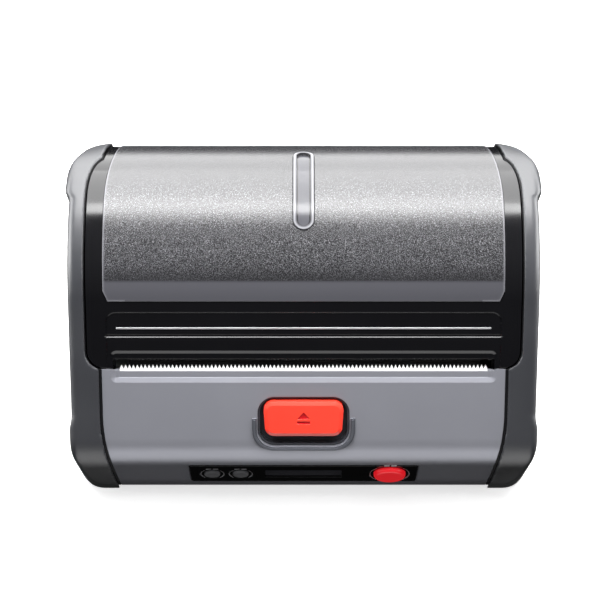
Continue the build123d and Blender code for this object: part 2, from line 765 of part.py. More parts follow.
def rimmed_side(grow, half, edge):
    """The casing's side form between its two ends, with a bevel round each end."""
    body = extrude(Plane.YZ * side_profile(grow), amount=half - edge, both=True)
    end = extrude(Plane.YZ.offset(half - edge) * side_profile(grow), amount=edge, taper=45)
    return body + both_sides(end)


def bumper_outline():
    middle = END_HALF + BUMPER_WALL
    plan = plan_prism(bumper_plan(), -FAR, FAR)
    front_end = BULGE_RAMP + FRONT_BULGE_SETBACK - HALF_DEPTH - BUMPER_PROUD
    rear_end = HALF_DEPTH + BUMPER_PROUD - REAR_BULGE_SETBACK - BULGE_RAMP
    front = block(-FAR, FAR, -FAR, front_end, -FAR, FAR)
    rear = block(-FAR, FAR, rear_end, FAR, -FAR, FAR)
    outline = rimmed_side(BUMPER_PROUD, middle, BUMPER_EDGE) & plan
    outline += rimmed_side(BUMPER_PROUD, middle + FRONT_BULGE, BUMPER_EDGE) & plan & front
    outline += rimmed_side(BUMPER_PROUD, middle + REAR_BULGE, BUMPER_EDGE) & plan & rear
    return outline


def make_bumpers():
    """Two rubber caps that wrap the casing's ends and stand 1 mm proud of it all round."""
    caps = bumper_outline() - envelope(0.0)
    caps -= plan_prism(front_plan(FRONT_STRIP), -FAR, FAR)
    caps -= plan_prism(narrow_plan(RUBBER_GAP), -FAR, FAR)
    caps -= cover_zone(RUBBER_GAP, REAR_WALL_TOP)
    right, left = sorted(caps.solids(), key=lambda solid: -solid.center().X)[:2]
    return {"bumper_right": right, "bumper_left": left}


def front_zone(gap):
    """The space of the front housing, up to the ears of the cover and the paper exit."""
    zone = plan_prism(front_plan(gap), FRONT_BOTTOM - gap, FAR)
    limit = deck_block(-FAR, FAR, -FAR, HOUSING_A + gap, -FAR, FAR)
    return zone & limit


def battery_slot(gap):
    return block(
        -BATTERY_HALF - gap, BATTERY_HALF + gap, BATTERY_FRONT, FAR, BATTERY_BOTTOM - gap, BATTERY_TOP + gap
    )


def make_base_shell():
    """The black lower shell: floor, two end walls that follow the casing, and the rear wall."""
    shell = envelope(0.0) - envelope(-WALL)
    shell -= front_zone(SEAM)
    shell -= cover_zone(COVER_GAP, REAR_WALL_TOP)
    shell -= block(-NARROW_HALF, NARROW_HALF, 0, FAR, REAR_WALL_TOP, FAR)
    shell -= battery_slot(BATTERY_FIT)
    floor = BODY_BOTTOM + WALL
    for side in (-1, 1):
        for y in BOARD_SCREW_YS:
            shell += post(BOARD_BOSS, side * BOARD_SCREW_X, y, floor, MAIN_BOARD_Z)
        for y in CHASSIS_SCREW_YS:
            shell += post(CHASSIS_BOSS, side * CHASSIS_SCREW_X, y, floor, CHASSIS_FLOOR)
        inner = side * (BARREL_HALF + KNUCKLE_GAP)
        x0, x1 = sorted((inner, inner + side * KNUCKLE_LENGTH))
        shell += rod(BARREL_RADIUS, x0, x1, HINGE_Y, HINGE_HEIGHT)
        rear = HINGE_Y + BARREL_RADIUS - BRACKET_STEP
        shell += block(x0, x1, HINGE_Y - BARREL_RADIUS, rear, REAR_WALL_TOP - BRACKET_DROP, HINGE_HEIGHT)
    shell -= rod(HINGE_PIN_RADIUS, -FAR, FAR, HINGE_Y, HINGE_HEIGHT)
    for side in (-1, 1):
        for y in BOARD_SCREW_YS:
            shell -= post(SCREW_RADIUS, side * BOARD_SCREW_X, y, floor, MAIN_BOARD_Z + 1)
        for y in CHASSIS_SCREW_YS:
            shell -= post(SCREW_RADIUS, side * CHASSIS_SCREW_X, y, floor, CHASSIS_FLOOR + 1)
        x, head_top = side * HOUSING_SCREW_X, BODY_BOTTOM + HOUSING_SCREW_SINK
        shell -= post(SCREW_HEAD_RADIUS + SCREW_HEAD_FIT, x, HOUSING_SCREW_Y, 0, head_top)
        shell -= post(SCREW_RADIUS + SCREW_FIT, x, HOUSING_SCREW_Y, 0, floor + 1)
    socket = Pos(SOCKET_X, HALF_DEPTH - WALL, SOCKET_Z) * Rot(90, 0, 0)
    opening = Rectangle(SOCKET_WIDTH + 2 * SOCKET_RIM + SEAM, SOCKET_HEIGHT + 2 * SOCKET_RIM + SEAM)
    shell -= socket * extrude(opening, amount=WALL + 1, both=True)
    flap_half = FLAP_WIDTH / 2 + FLAP_FIT
    shell -= block(SOCKET_X - flap_half, SOCKET_X + flap_half, HALF_DEPTH - FLAP_THICKNESS - FLAP_REST, FAR,
                   FLAP_PIN_Z - FLAP_THICKNESS, SOCKET_Z + FLAP_HEIGHT / 2 + FLAP_FIT)
    for side in (-1, 1):
        x = SOCKET_X + side * flap_half
        shell -= rod(FLAP_PIN_RADIUS + RUNNING, x - FLAP_PIN_END, x + FLAP_PIN_END, FLAP_PIN_Y, FLAP_PIN_Z)
    return largest(shell)


def largest(shape):
    """The shape's main solid, without crumbs left by cuts."""
    return max(shape.solids(), key=lambda solid: solid.volume)


def make_front_housing():
    """The grey front: skin, button opening with its raised lip, panel opening, tear-bar seat."""
    skin = (envelope(0.0) - envelope(-WALL)) & front_zone(0.0)
    for inset, proud in LIP_STEPS:
        bead = well_plan(LIP_OFFSET + LIP_WIDTH - inset) - well_plan(LIP_OFFSET + inset)
        bead &= Pos(0, LIP_START_A - inset - FAR / 2) * Rectangle(FAR, FAR)
        rise = DECK * Pos(0, 0, -LIP_ROOT) * extrude(bead, amount=LIP_ROOT + proud)
        skin += (rise & envelope(proud)) - envelope(-WALL / 2)
    skin -= DECK * extrude(well_plan(0.0), amount=4 * WALL, both=True)
    skin -= PANEL * extrude(panel_plan(SEAM), amount=2 * WALL, both=True)
    hollow = RectangleRounded(2 * RECESS_HALF, RECESS_HEIGHT, RECESS_RADIUS)
    hollow = Pos(0, RECESS_A + RECESS_HEIGHT / 2) * hollow
    skin -= DECK * extrude(hollow, amount=-RECESS_DEPTH, taper=EXIT_BEVEL)
    half, root = TEAR_HALF + TEAR_FIT, TEAR_ROOT_A - TEAR_FIT
    tear_low = TEAR_TOP_B - TEAR_THICKNESS
    gap_a = TEAR_TIP_A - TOOTH_DEPTH - TOOTH_GAP
    ledge_half = NOTCH_HALF - LEDGE_MARGIN
    skin += deck_block(-ledge_half, ledge_half, TEAR_ROOT_A - LEDGE_MARGIN, gap_a,
                       tear_low - LEDGE_THICKNESS, LEDGE_LAP - WALL)
    skin -= deck_block(-half, half, root, FAR, tear_low, TEAR_TOP_B + TEAR_PLAY)
    skin -= deck_block(-half, half, TEAR_EDGE_A, FAR, TEAR_TOP_B, FAR)
    skin -= deck_block(-NOTCH_HALF, NOTCH_HALF, gap_a, FAR, -FAR, FAR)
    behind = plan_prism(Pos(0, EAR_Y + FAR / 2 - COVER_GAP) * Rectangle(FAR, FAR), 0, FAR)
    skin -= behind - block(-NOTCH_HALF, NOTCH_HALF, -FAR, FAR, -FAR, FAR)
    foot = BODY_BOTTOM + WALL
    for side in (-1, 1):
        x = side * HOUSING_SCREW_X
        boss = post(HOUSING_BOSS, x, HOUSING_SCREW_Y, foot, HOUSING_BOSS_TOP)
        rib = block(x - HOUSING_RIB / 2, x + HOUSING_RIB / 2, -FAR, HOUSING_SCREW_Y,
                    FRONT_BOTTOM + HOUSING_RIB_STEP, HOUSING_BOSS_TOP)
        skin += (boss & envelope(-WALL - BOSS_GAP)) + (rib & envelope(-WALL / 2))
        skin -= post(SCREW_RADIUS, x, HOUSING_SCREW_Y, 0, HOUSING_SCREW_LENGTH + BOSS_HOLE_END)
    return largest(skin)


def make_tear_bar():
    """A steel strip with a row of teeth along its upper edge, seated in the housing's slot."""
    pitch = 2 * TEAR_HALF / TEETH_COUNT
    root = TEAR_TIP_A - TOOTH_DEPTH
    points = [(-TEAR_HALF, TEAR_ROOT_A), (-TEAR_HALF, root)]
    for tooth in range(TEETH_COUNT):
        x = -TEAR_HALF + tooth * pitch
        middle, flat = x + pitch / 2, pitch * TOOTH_TIP / 2
        points += [(middle - flat, TEAR_TIP_A), (middle + flat, TEAR_TIP_A), (x + pitch, root)]
    points += [(TEAR_HALF, TEAR_ROOT_A)]
    face = make_face(Polyline(*points, close=True))
    return DECK * Pos(0, 0, TEAR_TOP_B - TEAR_THICKNESS) * extrude(face, amount=TEAR_THICKNESS)


def make_button_well():
    """A black cup behind the housing: walls round the button, and a floor with the stem's hole."""
    low = WELL_FLOOR_B - WELL_FLOOR
    inside = well_plan(-SEAM - WELL_WALL)
    cup = extrude(well_plan(-SEAM), amount=-low) - Pos(0, 0, WELL_FLOOR) * extrude(inside, amount=-2 * low)
    cup = (DECK * Pos(0, 0, low) * cup) & envelope(-WELL_EDGE)
    flange = extrude(well_plan(WELL_FLANGE) - inside, amount=-WELL_FLANGE_B)
    cup += (DECK * Pos(0, 0, WELL_FLANGE_B) * flange) & envelope(-WALL - SEAT_PLAY)
    width, height = STEM_WIDTH + 2 * STEM_FIT, STEM_HEIGHT + 2 * STEM_FIT
    hole = DECK * Pos(0, BUTTON_A, low) * Box(width, height, 3 * WELL_FLOOR)
    return largest(cup - hole)


def make_open_button():
    """The red release button: a tapered cap with a bevelled rim, on a stem through the well."""
    height = BUTTON_TOP_B - BUTTON_BOTTOM_B
    top, low = BUTTON_HEIGHT / 2, -BUTTON_HEIGHT / 2
    narrow = BUTTON_WIDTH / 2 - BUTTON_TAPER
    outline = [(BUTTON_WIDTH / 2, top), (-BUTTON_WIDTH / 2, top), (-narrow, low), (narrow, low)]
    face = make_face(FilletPolyline(*outline, radius=BUTTON_RADIUS, close=True))
    cap = chamfer(extrude(face, amount=height).edges().group_by(Axis.Z)[-1], BUTTON_BEVEL / 2, BUTTON_BEVEL)
    cap -= extrude(Pos(0, 0, height) * button_mark(), amount=-MARK_DEPTH)
    cap -= extrude(offset(face, amount=-BUTTON_SHELL), amount=height - BUTTON_SHELL)
    reach = BUTTON_TOP_B - BUTTON_SHELL - LATCH_B - LATCH_THICKNESS / 2 - STEM_GAP
    stem = Pos(0, 0, height - BUTTON_SHELL - reach / 2) * Box(STEM_WIDTH, STEM_HEIGHT, reach)
    return DECK * Pos(0, BUTTON_A, BUTTON_BOTTOM_B) * (cap + stem)


def button_mark():
    """A plain release mark: a triangle over a bar."""
    low, top = MARK_TRIANGLE
    triangle = make_face(Polyline((-MARK_HALF, low), (MARK_HALF, low), (0, top), close=True))
    bar = Pos(0, MARK_BAR_PLACE) * Rectangle(2 * MARK_HALF, MARK_BAR)
    return triangle + bar


def make_button_spring():
    """The spring round the button's stem, between the well's floor and the cap."""
    low, top = WELL_FLOOR_B + SPRING_END, BUTTON_TOP_B - BUTTON_SHELL - SPRING_END
    place = DECK * Pos(0, BUTTON_A, low)
    return coil(BUTTON_SPRING_RADIUS, WIRE, top - low, BUTTON_SPRING_TURNS, place)


def make_bezel():
    """The gloss black control panel with its display window and key holes."""
    plate = Pos(0, 0, -WALL) * extrude(panel_plan(0.0), amount=BEZEL_PROUD + WALL)
    plate = chamfer(plate.edges().group_by(Axis.Z)[-1], BEZEL_CHAMFER)
    rear = -WALL - BEZEL_FLANGE
    flange = Pos(0, 0, rear) * extrude(panel_plan(BEZEL_MARGIN), amount=BEZEL_FLANGE)
    bezel = PANEL * plate + ((PANEL * flange) & envelope(-WALL - SEAT_PLAY))
    view = RectangleRounded(DISPLAY_WIDTH, DISPLAY_HEIGHT, DISPLAY_CORNER)
    cuts = extrude(view, amount=KEY_BOARD_DEPTH, both=True)
    glass = Rectangle(DISPLAY_WIDTH + DISPLAY_MARGIN, DISPLAY_HEIGHT + DISPLAY_MARGIN)
    cuts += Pos(0, 0, rear - 1) * extrude(glass, amount=1 + BEZEL_FLANGE + DISPLAY_SINK)
    for x, radius in key_places():
        cuts += Pos(x, 0) * Cylinder(radius + KEY_FIT, 2 * KEY_BOARD_DEPTH)
        cuts += Pos(x, 0, BEZEL_PROUD) * Cylinder(radius + KEY_RING, 2 * KEY_RING_DEPTH)
    bezel -= PANEL * cuts
    depth = KEY_BOARD_DEPTH + rear
    for x in BEZEL_POST_XS:
        bezel += PANEL * Pos(x, 0, rear - depth / 2) * Cylinder(BEZEL_POST_RADIUS, depth)
    return largest(bezel)


def key_places():
    return [(x, KEY_RADIUS) for x in KEY_XS] + [(POWER_X, POWER_RADIUS)]


def make_key(x, radius, proud):
    """A round key with a rounded top and a flange behind the bezel."""
    back = -WALL - BEZEL_FLANGE - KEY_PLAY
    top = BEZEL_PROUD + proud
    stem = Pos(x, 0, (top + back) / 2) * Cylinder(radius, top - back)
    stem = fillet(stem.edges().group_by(Axis.Z)[-1], KEY_DOME * proud)
    flange = Pos(x, 0, back - KEY_FLANGE_DEPTH / 2) * Cylinder(radius + KEY_FLANGE, KEY_FLANGE_DEPTH)
    return PANEL * (stem + flange)


def make_key_board():
    """The board behind the control panel, with one switch under each key."""
    size = (2 * PANEL_BOTTOM_HALF, PANEL_HEIGHT - 1.0, BOARD_THICKNESS)
    board = Pos(0, 0, -KEY_BOARD_DEPTH - BOARD_THICKNESS / 2) * Box(*size)
    flange_back = WALL + BEZEL_FLANGE + KEY_PLAY + KEY_FLANGE_DEPTH
    reach = KEY_BOARD_DEPTH - flange_back - KEY_TRAVEL - SWITCH_FIT
    for x, radius in key_places():
        body = Box(SWITCH_SIZE, SWITCH_SIZE, SWITCH_HEIGHT)
        board += Pos(x, 0, -KEY_BOARD_DEPTH + SWITCH_HEIGHT / 2) * body
        board += Pos(x, 0, -KEY_BOARD_DEPTH + reach / 2) * Cylinder(SWITCH_STEM_RADIUS, reach)
    return PANEL * board


def make_display():
    """The display glass behind the bezel's window, on its frame in front of the board."""
    width = DISPLAY_WIDTH + DISPLAY_MARGIN - 2 * DISPLAY_FIT
    height = DISPLAY_HEIGHT + DISPLAY_MARGIN - 2 * DISPLAY_FIT
    top = DISPLAY_SINK - WALL
    rear = top - DISPLAY_GLASS
    glass = Pos(0, 0, (top + rear) / 2) * Box(width, height, DISPLAY_GLASS)
    depth = KEY_BOARD_DEPTH + rear
    frame = Pos(0, 0, rear - depth / 2) * Box(width - 2 * DISPLAY_FRAME, height - 2 * DISPLAY_FRAME, depth)
    return PANEL * (glass + frame)


def window_plan(grow, front_y, rear_y):
    """The window's outline from above: sides that curve in towards the rear, cut front corners."""
    half = WINDOW_HALF + grow
    curve_y = HALF_DEPTH - WINDOW_CURVE_SETBACK
    across, along = WINDOW_FRONT_CORNER
    right = [(half - across, front_y), (half, front_y + along), (half, curve_y)]
    left = [(-x, y) for x, y in reversed(right)]
    outline = make_face(Polyline(*right, *left, close=True))
    offset_x = half - WINDOW_CURVE_RADIUS
    discs = Pos(offset_x, curve_y) * Circle(WINDOW_CURVE_RADIUS)
    discs &= Pos(-offset_x, curve_y) * Circle(WINDOW_CURVE_RADIUS)
    rear = discs & Pos(0, (curve_y + rear_y) / 2) * Rectangle(FAR, rear_y - curve_y)
    corner = max(WINDOW_CORNER + grow, WINDOW_CORNER / 2)
    return outline + fillet(rear.vertices().group_by(Axis.Y)[-1], corner)


def window_zone(grow, outer, inner):
    """The window's curved plate between its side edges and its two ends."""
    spread = degrees(grow / COVER_RADIUS)
    front = 90 + DECK_SLOPE + WINDOW_FRONT_SETBACK + spread
    rear = WINDOW_REAR_ANGLE - spread
    front_y = ARC_Y + COVER_RADIUS * cos(radians(front))
    rear_y = ARC_Y + COVER_RADIUS * cos(radians(rear))
    half = WINDOW_HALF + grow
    ring = arc_sector(outer, inner, rear, front, -half, half)
    return ring & plan_prism(window_plan(grow, front_y - WINDOW_PROUD, rear_y + WINDOW_PROUD), 0, FAR)


def make_window():
    """The smoky window: a curved plate with a raised inner field and ribs inside."""
    top = COVER_RADIUS + WINDOW_PROUD
    under = top - WINDOW_THICKNESS
    plate = window_zone(0.0, top, under)
    span = (WINDOW_REAR_ANGLE + RIB_INSET, 90 + DECK_SLOPE - RIB_INSET)
    for index in range(RIB_COUNT):
        x = (index - (RIB_COUNT - 1) / 2) * RIB_PITCH
        plate += arc_sector(under + RIB_LAP, under - RIB_DEPTH, *span, x - RIB_WIDTH / 2, x + RIB_WIDTH / 2)
    return largest(plate - gauge_hole(WINDOW_FIT))


def gauge_hole(grow):
    """The slot for the clear gauge, with round ends, cut square to the window."""
    margin = degrees(GAUGE_HALF / COVER_RADIUS)
    ends = (GAUGE_START + margin, GAUGE_END - margin)
    half = GAUGE_HALF + grow
    hole = arc_sector(COVER_RADIUS + 2 * WALL, COVER_RADIUS - 2 * WALL, *ends, -half, half)
    for angle in ends:
        place = Pos(0, ARC_Y, ARC_Z) * Rot(angle, 0, 0) * Rot(-90, 0, 0)
        hole += place * Pos(0, 0, COVER_RADIUS) * Cylinder(half, 4 * WALL)
    return hole


def make_gauge():
    """The clear strip that shows how much paper is left, with a raised rim."""
    top = COVER_RADIUS + WINDOW_PROUD
    margin = degrees(GAUGE_HALF / COVER_RADIUS)
    span = (GAUGE_START - margin, GAUGE_END + margin, -FAR, FAR)
    strip = gauge_hole(0.0) & arc_sector(top + GAUGE_PROUD, top - WINDOW_THICKNESS, *span)
    field = gauge_hole(-GAUGE_RIM) & arc_sector(top + WALL, top - WINDOW_PROUD, *span)
    return largest(strip - field)


def make_cover_frame():
    """The black cover frame: side strips, deck, exit lip, arms for the platen and hinge barrel."""
    zone = cover_zone(0.0, HINGE_HEIGHT)
    skin = (envelope(0.0) - envelope(-WALL)) & zone
    skirt_zone = block(COVER_HALF - SKIRT_WALL, COVER_HALF, EAR_Y + SKIRT_FRONT, HALF_DEPTH - SKIRT_REAR,
                       SKIRT_LOW, FAR)
    skin += (envelope(0.0) - envelope(-SKIRT_DEPTH)) & zone & both_sides(skirt_zone)
    outer = COVER_RADIUS + 2 * WALL
    skin -= window_zone(WINDOW_FIT, outer, COVER_RADIUS + WINDOW_PROUD - WINDOW_THICKNESS)
    skin -= window_zone(-WINDOW_LEDGE, outer, COVER_RADIUS - 4 * WALL)
    skin -= deck_block(-NOTCH_HALF, NOTCH_HALF, -FAR, LIP_A, -FAR, FAR)
    exit_face = RectangleRounded(2 * EXIT_HALF, EXIT_HEIGHT, EXIT_RADIUS)
    exit_face = Pos(0, EXIT_TOP_A - EXIT_HEIGHT / 2) * exit_face
    skin -= DECK * extrude(exit_face, amount=-EXIT_DEPTH, taper=EXIT_BEVEL)
    field_height = FIELD_END_A - FIELD_START_A
    field = Pos(0, FIELD_START_A + field_height / 2) * RectangleRounded(
        2 * FIELD_HALF, field_height, FIELD_RADIUS)
    skin -= DECK * extrude(field, amount=-FIELD_DEPTH, taper=FIELD_BEVEL)
    groove = Pos(0, GROOVE_A) * SlotOverall(2 * GROOVE_HALF, GROOVE_WIDTH)
    skin -= DECK * Pos(0, 0, -FIELD_DEPTH) * extrude(groove, amount=-GROOVE_DEPTH, taper=GROOVE_BEVEL)
    skin -= DECK * extrude(groove, amount=-FIELD_DEPTH)
    peel_length = 2 * (PEEL_HALF + PEEL_END_GAP)
    skin -= DECK * Pos(0, PEEL_A, -FIELD_DEPTH) * Rot(0, 90, 0) * Cylinder(PEEL_RADIUS, peel_length)
    bead = rod(BARREL_RADIUS, -BARREL_HALF, BARREL_HALF, HINGE_Y, HINGE_HEIGHT)
    knuckle_end = BARREL_HALF + 2 * KNUCKLE_GAP + KNUCKLE_LENGTH
    ahead, above = KNUCKLE_SPACE
    knuckle_top = HINGE_HEIGHT + BARREL_RADIUS + above
    skin -= both_sides(block(BARREL_HALF, knuckle_end, HINGE_Y - ahead, FAR, 0, knuckle_top))
    skin += bead
    for side in (-1, 1):
        x = side * BARREL_HALF
        skin -= rod(HINGE_PIN_RADIUS + RUNNING, x - PIN_DEPTH, x + PIN_DEPTH, HINGE_Y, HINGE_HEIGHT)
        skin += cover_arm(side)
    return largest(skin)


def cover_arm(side):
    """The arm under the deck that carries one of the platen's bushings."""
    x0, x1 = sorted((side * ARM_INNER, side * ARM_OUTER))
    before, behind = ARM_REACH
    arm = deck_block(x0, x1, PLATEN_A - before, PLATEN_A + behind, PLATEN_B, ARM_LAP - WALL)
    arm += rod(BUSHING_RADIUS + ARM_WALL, x0, x1, *PLATEN)
    arm -= deck_block(x0 - 1, x1 + 1, -FAR, -ARM_LAP, -FAR, -WALL)
    return arm - rod(BUSHING_RADIUS, x0 - 1, x1 + 1, *PLATEN)


def make_platen():
    shaft = rod(SHAFT_RADIUS, RIM_X - SHAFT_END, PLATE_OUTER + SHAFT_END, *PLATEN)
    roller = rod(PLATEN_RADIUS, -PLATEN_HALF, PLATEN_HALF, *PLATEN)
    roller -= rod(SHAFT_RADIUS, -FAR, FAR, *PLATEN)
    wheel = gear(PLATEN_TEETH, LIFT + pi / PLATEN_TEETH, RIM_X, GEAR_WIDTH, PLATEN, SHAFT_RADIUS)
    bushings = []
    for side in (-1, 1):
        x0, x1 = sorted((side * ARM_INNER, side * (PLATE_OUTER + BUSHING_END)))
        ring = rod(BUSHING_RADIUS, x0, x1, *PLATEN) - rod(SHAFT_RADIUS + RUNNING, x0 - 1, x1 + 1, *PLATEN)
        bushings.append(ring)
    return {
        "platen_shaft": shaft,
        "platen_roller": roller,
        "platen_gear": wheel,
        "platen_bushings": bushings[0] + bushings[1],
    }


def make_gear_train():
    """Idler on its stud, and the motor's pinion, all in mesh with the platen's gear at rest."""
    idler_phase = LIFT
    idler = gear(IDLER_TEETH, idler_phase, RIM_X, GEAR_WIDTH, IDLER, STUD_RADIUS + RUNNING)
    head_x = RIM_X - STUD_END
    stud = rod(STUD_RADIUS, head_x, -PLATE_INNER, *IDLER)
    stud += rod(STUD_RADIUS + STUD_HEAD, head_x - STUD_HEAD_WIDTH, head_x, *IDLER)
    line = radians(MOTOR_ANGLE)
    offset_angle = (line - idler_phase) % (2 * pi / IDLER_TEETH)
    pinion_phase = line + pi + offset_angle * IDLER_TEETH / PINION_TEETH + pi / PINION_TEETH
    pinion = gear(PINION_TEETH, pinion_phase, RIM_X, GEAR_WIDTH, MOTOR, MOTOR_SHAFT_RADIUS)
    face_x = -PLATE_INNER
    shaft = rod(MOTOR_SHAFT_RADIUS, RIM_X - MOTOR_SHAFT_END, face_x + PRESS_END, *MOTOR)
    motor = rod(MOTOR_RADIUS, face_x, face_x + MOTOR_LENGTH, *MOTOR)
    motor = chamfer(motor.edges().filter_by(GeomType.CIRCLE), MOTOR_EDGE)
    motor -= rod(MOTOR_SHAFT_RADIUS + MOTOR_FIT, face_x - 1, face_x + MOTOR_NOSE, *MOTOR)
    return {"idler_gear": idler, "idler_stud": stud, "motor_pinion": pinion, "motor_shaft": shaft,
            "stepper_motor": motor}


def make_chassis():
    """The steel mechanism frame: two side plates, a floor, and a web with the spring seats."""
    foot = BODY_BOTTOM + WALL + CHASSIS_FOOT
    front_drop = (EXIT_Y - CHASSIS_FRONT) * tan(SLOPE) + (WALL + CHASSIS_CLEAR) / cos(SLOPE)
    shoulder_a, shoulder_drop = CHASSIS_SHOULDER
    horn_y, horn_z = PLATEN[0] - BUSHING_RADIUS - CHASSIS_HORN[0], PLATEN[1] + CHASSIS_HORN[1]
    outline = [
        (CHASSIS_FRONT, foot),
        (CHASSIS_FRONT, EXIT_Z - front_drop),
        deck_point(shoulder_a, -WALL - shoulder_drop),
        (horn_y, horn_z),
        (CHASSIS_REAR, horn_z),
        (CHASSIS_REAR, foot),
    ]
    frame = block(-PLATE_OUTER, PLATE_OUTER, CHASSIS_FRONT, CHASSIS_FLOOR_REAR,
                  CHASSIS_FLOOR, CHASSIS_FLOOR + CHASSIS_SHEET)
    frame += both_sides(side_prism(outline, PLATE_INNER, PLATE_OUTER) - bushing_slot())
    web_y = CHASSIS_FRONT + WEB_STEP
    frame += block(-WEB_HALF, WEB_HALF, web_y, web_y + CHASSIS_SHEET, CHASSIS_FLOOR, WEB_TOP)
    for x in (-HEAD_SPRING_X, HEAD_SPRING_X):
        place = DECK * Pos(x, HEAD_SPRING_START_A - SEAT_DEPTH / 2, HEAD_SPRING_B) * Rot(90, 0, 0)
        frame += place * Cylinder(HEAD_SPRING_RADIUS + SEAT_WALL, SEAT_DEPTH)
    frame -= rod(LATCH_SHAFT_RADIUS, -FAR, FAR, *LATCH)
    frame -= rod(HEAD_PIVOT_RADIUS, -FAR, FAR, *HEAD_PIVOT)
    frame -= rod(STUD_RADIUS, -FAR, PRESS_END - PLATE_INNER, *IDLER)
    frame -= rod(MOTOR_SHAFT_RADIUS + BORE_FIT, -FAR, PRESS_END - PLATE_INNER, *MOTOR)
    for side in (-1, 1):
        for y in CHASSIS_SCREW_YS:
            x, top = side * CHASSIS_SCREW_X, CHASSIS_FLOOR + 2 * CHASSIS_SHEET
            frame -= post(SCREW_RADIUS + SCREW_FIT, x, y, 0, top)
    return largest(frame)


def bushing_slot():
    """The open slot in a side plate that a platen bushing drops into, wider towards its mouth."""
    half, (front_flare, rear_flare) = BUSHING_RADIUS + SLOT_FIT, CHASSIS_SLOT_FLARE
    y, z = PLATEN
    top = z + CHASSIS_SLOT_TOP
    mouth = [(y - half, z), (y + half, z), (y + half + rear_flare, top), (y - half + front_flare, top)]
    return side_prism(mouth, -FAR, FAR) + rod(half, -FAR, FAR, *PLATEN)


def make_head():
    """The print head: a ceramic strip on an aluminium heat sink that turns on its lower shaft."""
    face, back = HEAD_FACE_A, HEAD_BACK_A
    top = HEAD_TOP_B - HEAD_STRIP_DROP
    strip = deck_block(-HEAD_HALF, HEAD_HALF, face - HEAD_STRIP, face, top - HEAD_STRIP_HEIGHT, top)
    sink = deck_block(-HEAD_HALF, HEAD_HALF, back, face - HEAD_STRIP, HEAD_PIVOT_B, HEAD_TOP_B)
    fin_half = HEAD_HALF - FIN_MARGIN
    for index in range(FIN_COUNT):
        b = HEAD_TOP_B - FIN_START - index * FIN_PITCH
        if abs(b - HEAD_SPRING_B) > HEAD_SPRING_RADIUS + SEAT_WALL:
            low, high = b - FIN_WIDTH / 2, b + FIN_WIDTH / 2
            sink -= deck_block(-fin_half, fin_half, back - 1, back + FIN_DEPTH, low, high)
    sink += rod(HEAD_PIVOT_RADIUS + HEAD_PIVOT_WALL, -HEAD_HALF, HEAD_HALF, *HEAD_PIVOT)
    sink -= rod(HEAD_PIVOT_RADIUS + RUNNING, -FAR, FAR, *HEAD_PIVOT)
    shaft = rod(HEAD_PIVOT_RADIUS, -PLATE_OUTER, PLATE_OUTER, *HEAD_PIVOT)
    rest = WIRE / 2 + HEAD_SPRING_PLAY
    length = HEAD_BACK_A - HEAD_SPRING_START_A - 2 * rest
    springs = []
    for x in (-HEAD_SPRING_X, HEAD_SPRING_X):
        place = DECK * Pos(x, HEAD_SPRING_START_A + rest, HEAD_SPRING_B) * Rot(-90, 0, 0)
        springs.append(coil(HEAD_SPRING_RADIUS - WIRE / 2, WIRE, length, HEAD_SPRING_TURNS, place))
    return {"print_head_strip": strip, "print_head_sink": sink, "head_pivot_shaft": shaft,
            "head_springs": springs[0] + springs[1]}


def make_latch():
    """The latch lever: a bar on its shaft, a tail under the button and a hook at each end."""
    half = HOOK_X + HOOK_WIDTH / 2
    low, top = LATCH_B - LATCH_THICKNESS / 2, LATCH_B + LATCH_THICKNESS / 2
    boss = LATCH_SHAFT_RADIUS + LATCH_BOSS
    lever = rod(boss, -half, half, *LATCH)
    lever += deck_block(-LATCH_TAIL_HALF, LATCH_TAIL_HALF, LATCH_TAIL_A, LATCH_A, low, top)
    hook = deck_block(HOOK_X - HOOK_WIDTH / 2, half, LATCH_A, LATCH_NOSE_A, low + HOOK_STEP, top)
    lever += both_sides(hook)
    lever -= rod(LATCH_SHAFT_RADIUS + RUNNING, -FAR, FAR, *LATCH)
    shaft = rod(LATCH_SHAFT_RADIUS, -PLATE_OUTER, PLATE_OUTER, *LATCH)
    return {"latch_lever": lever, "latch_shaft": shaft}


def trough_angle(side):
    return 270 + side * TROUGH_SPAN


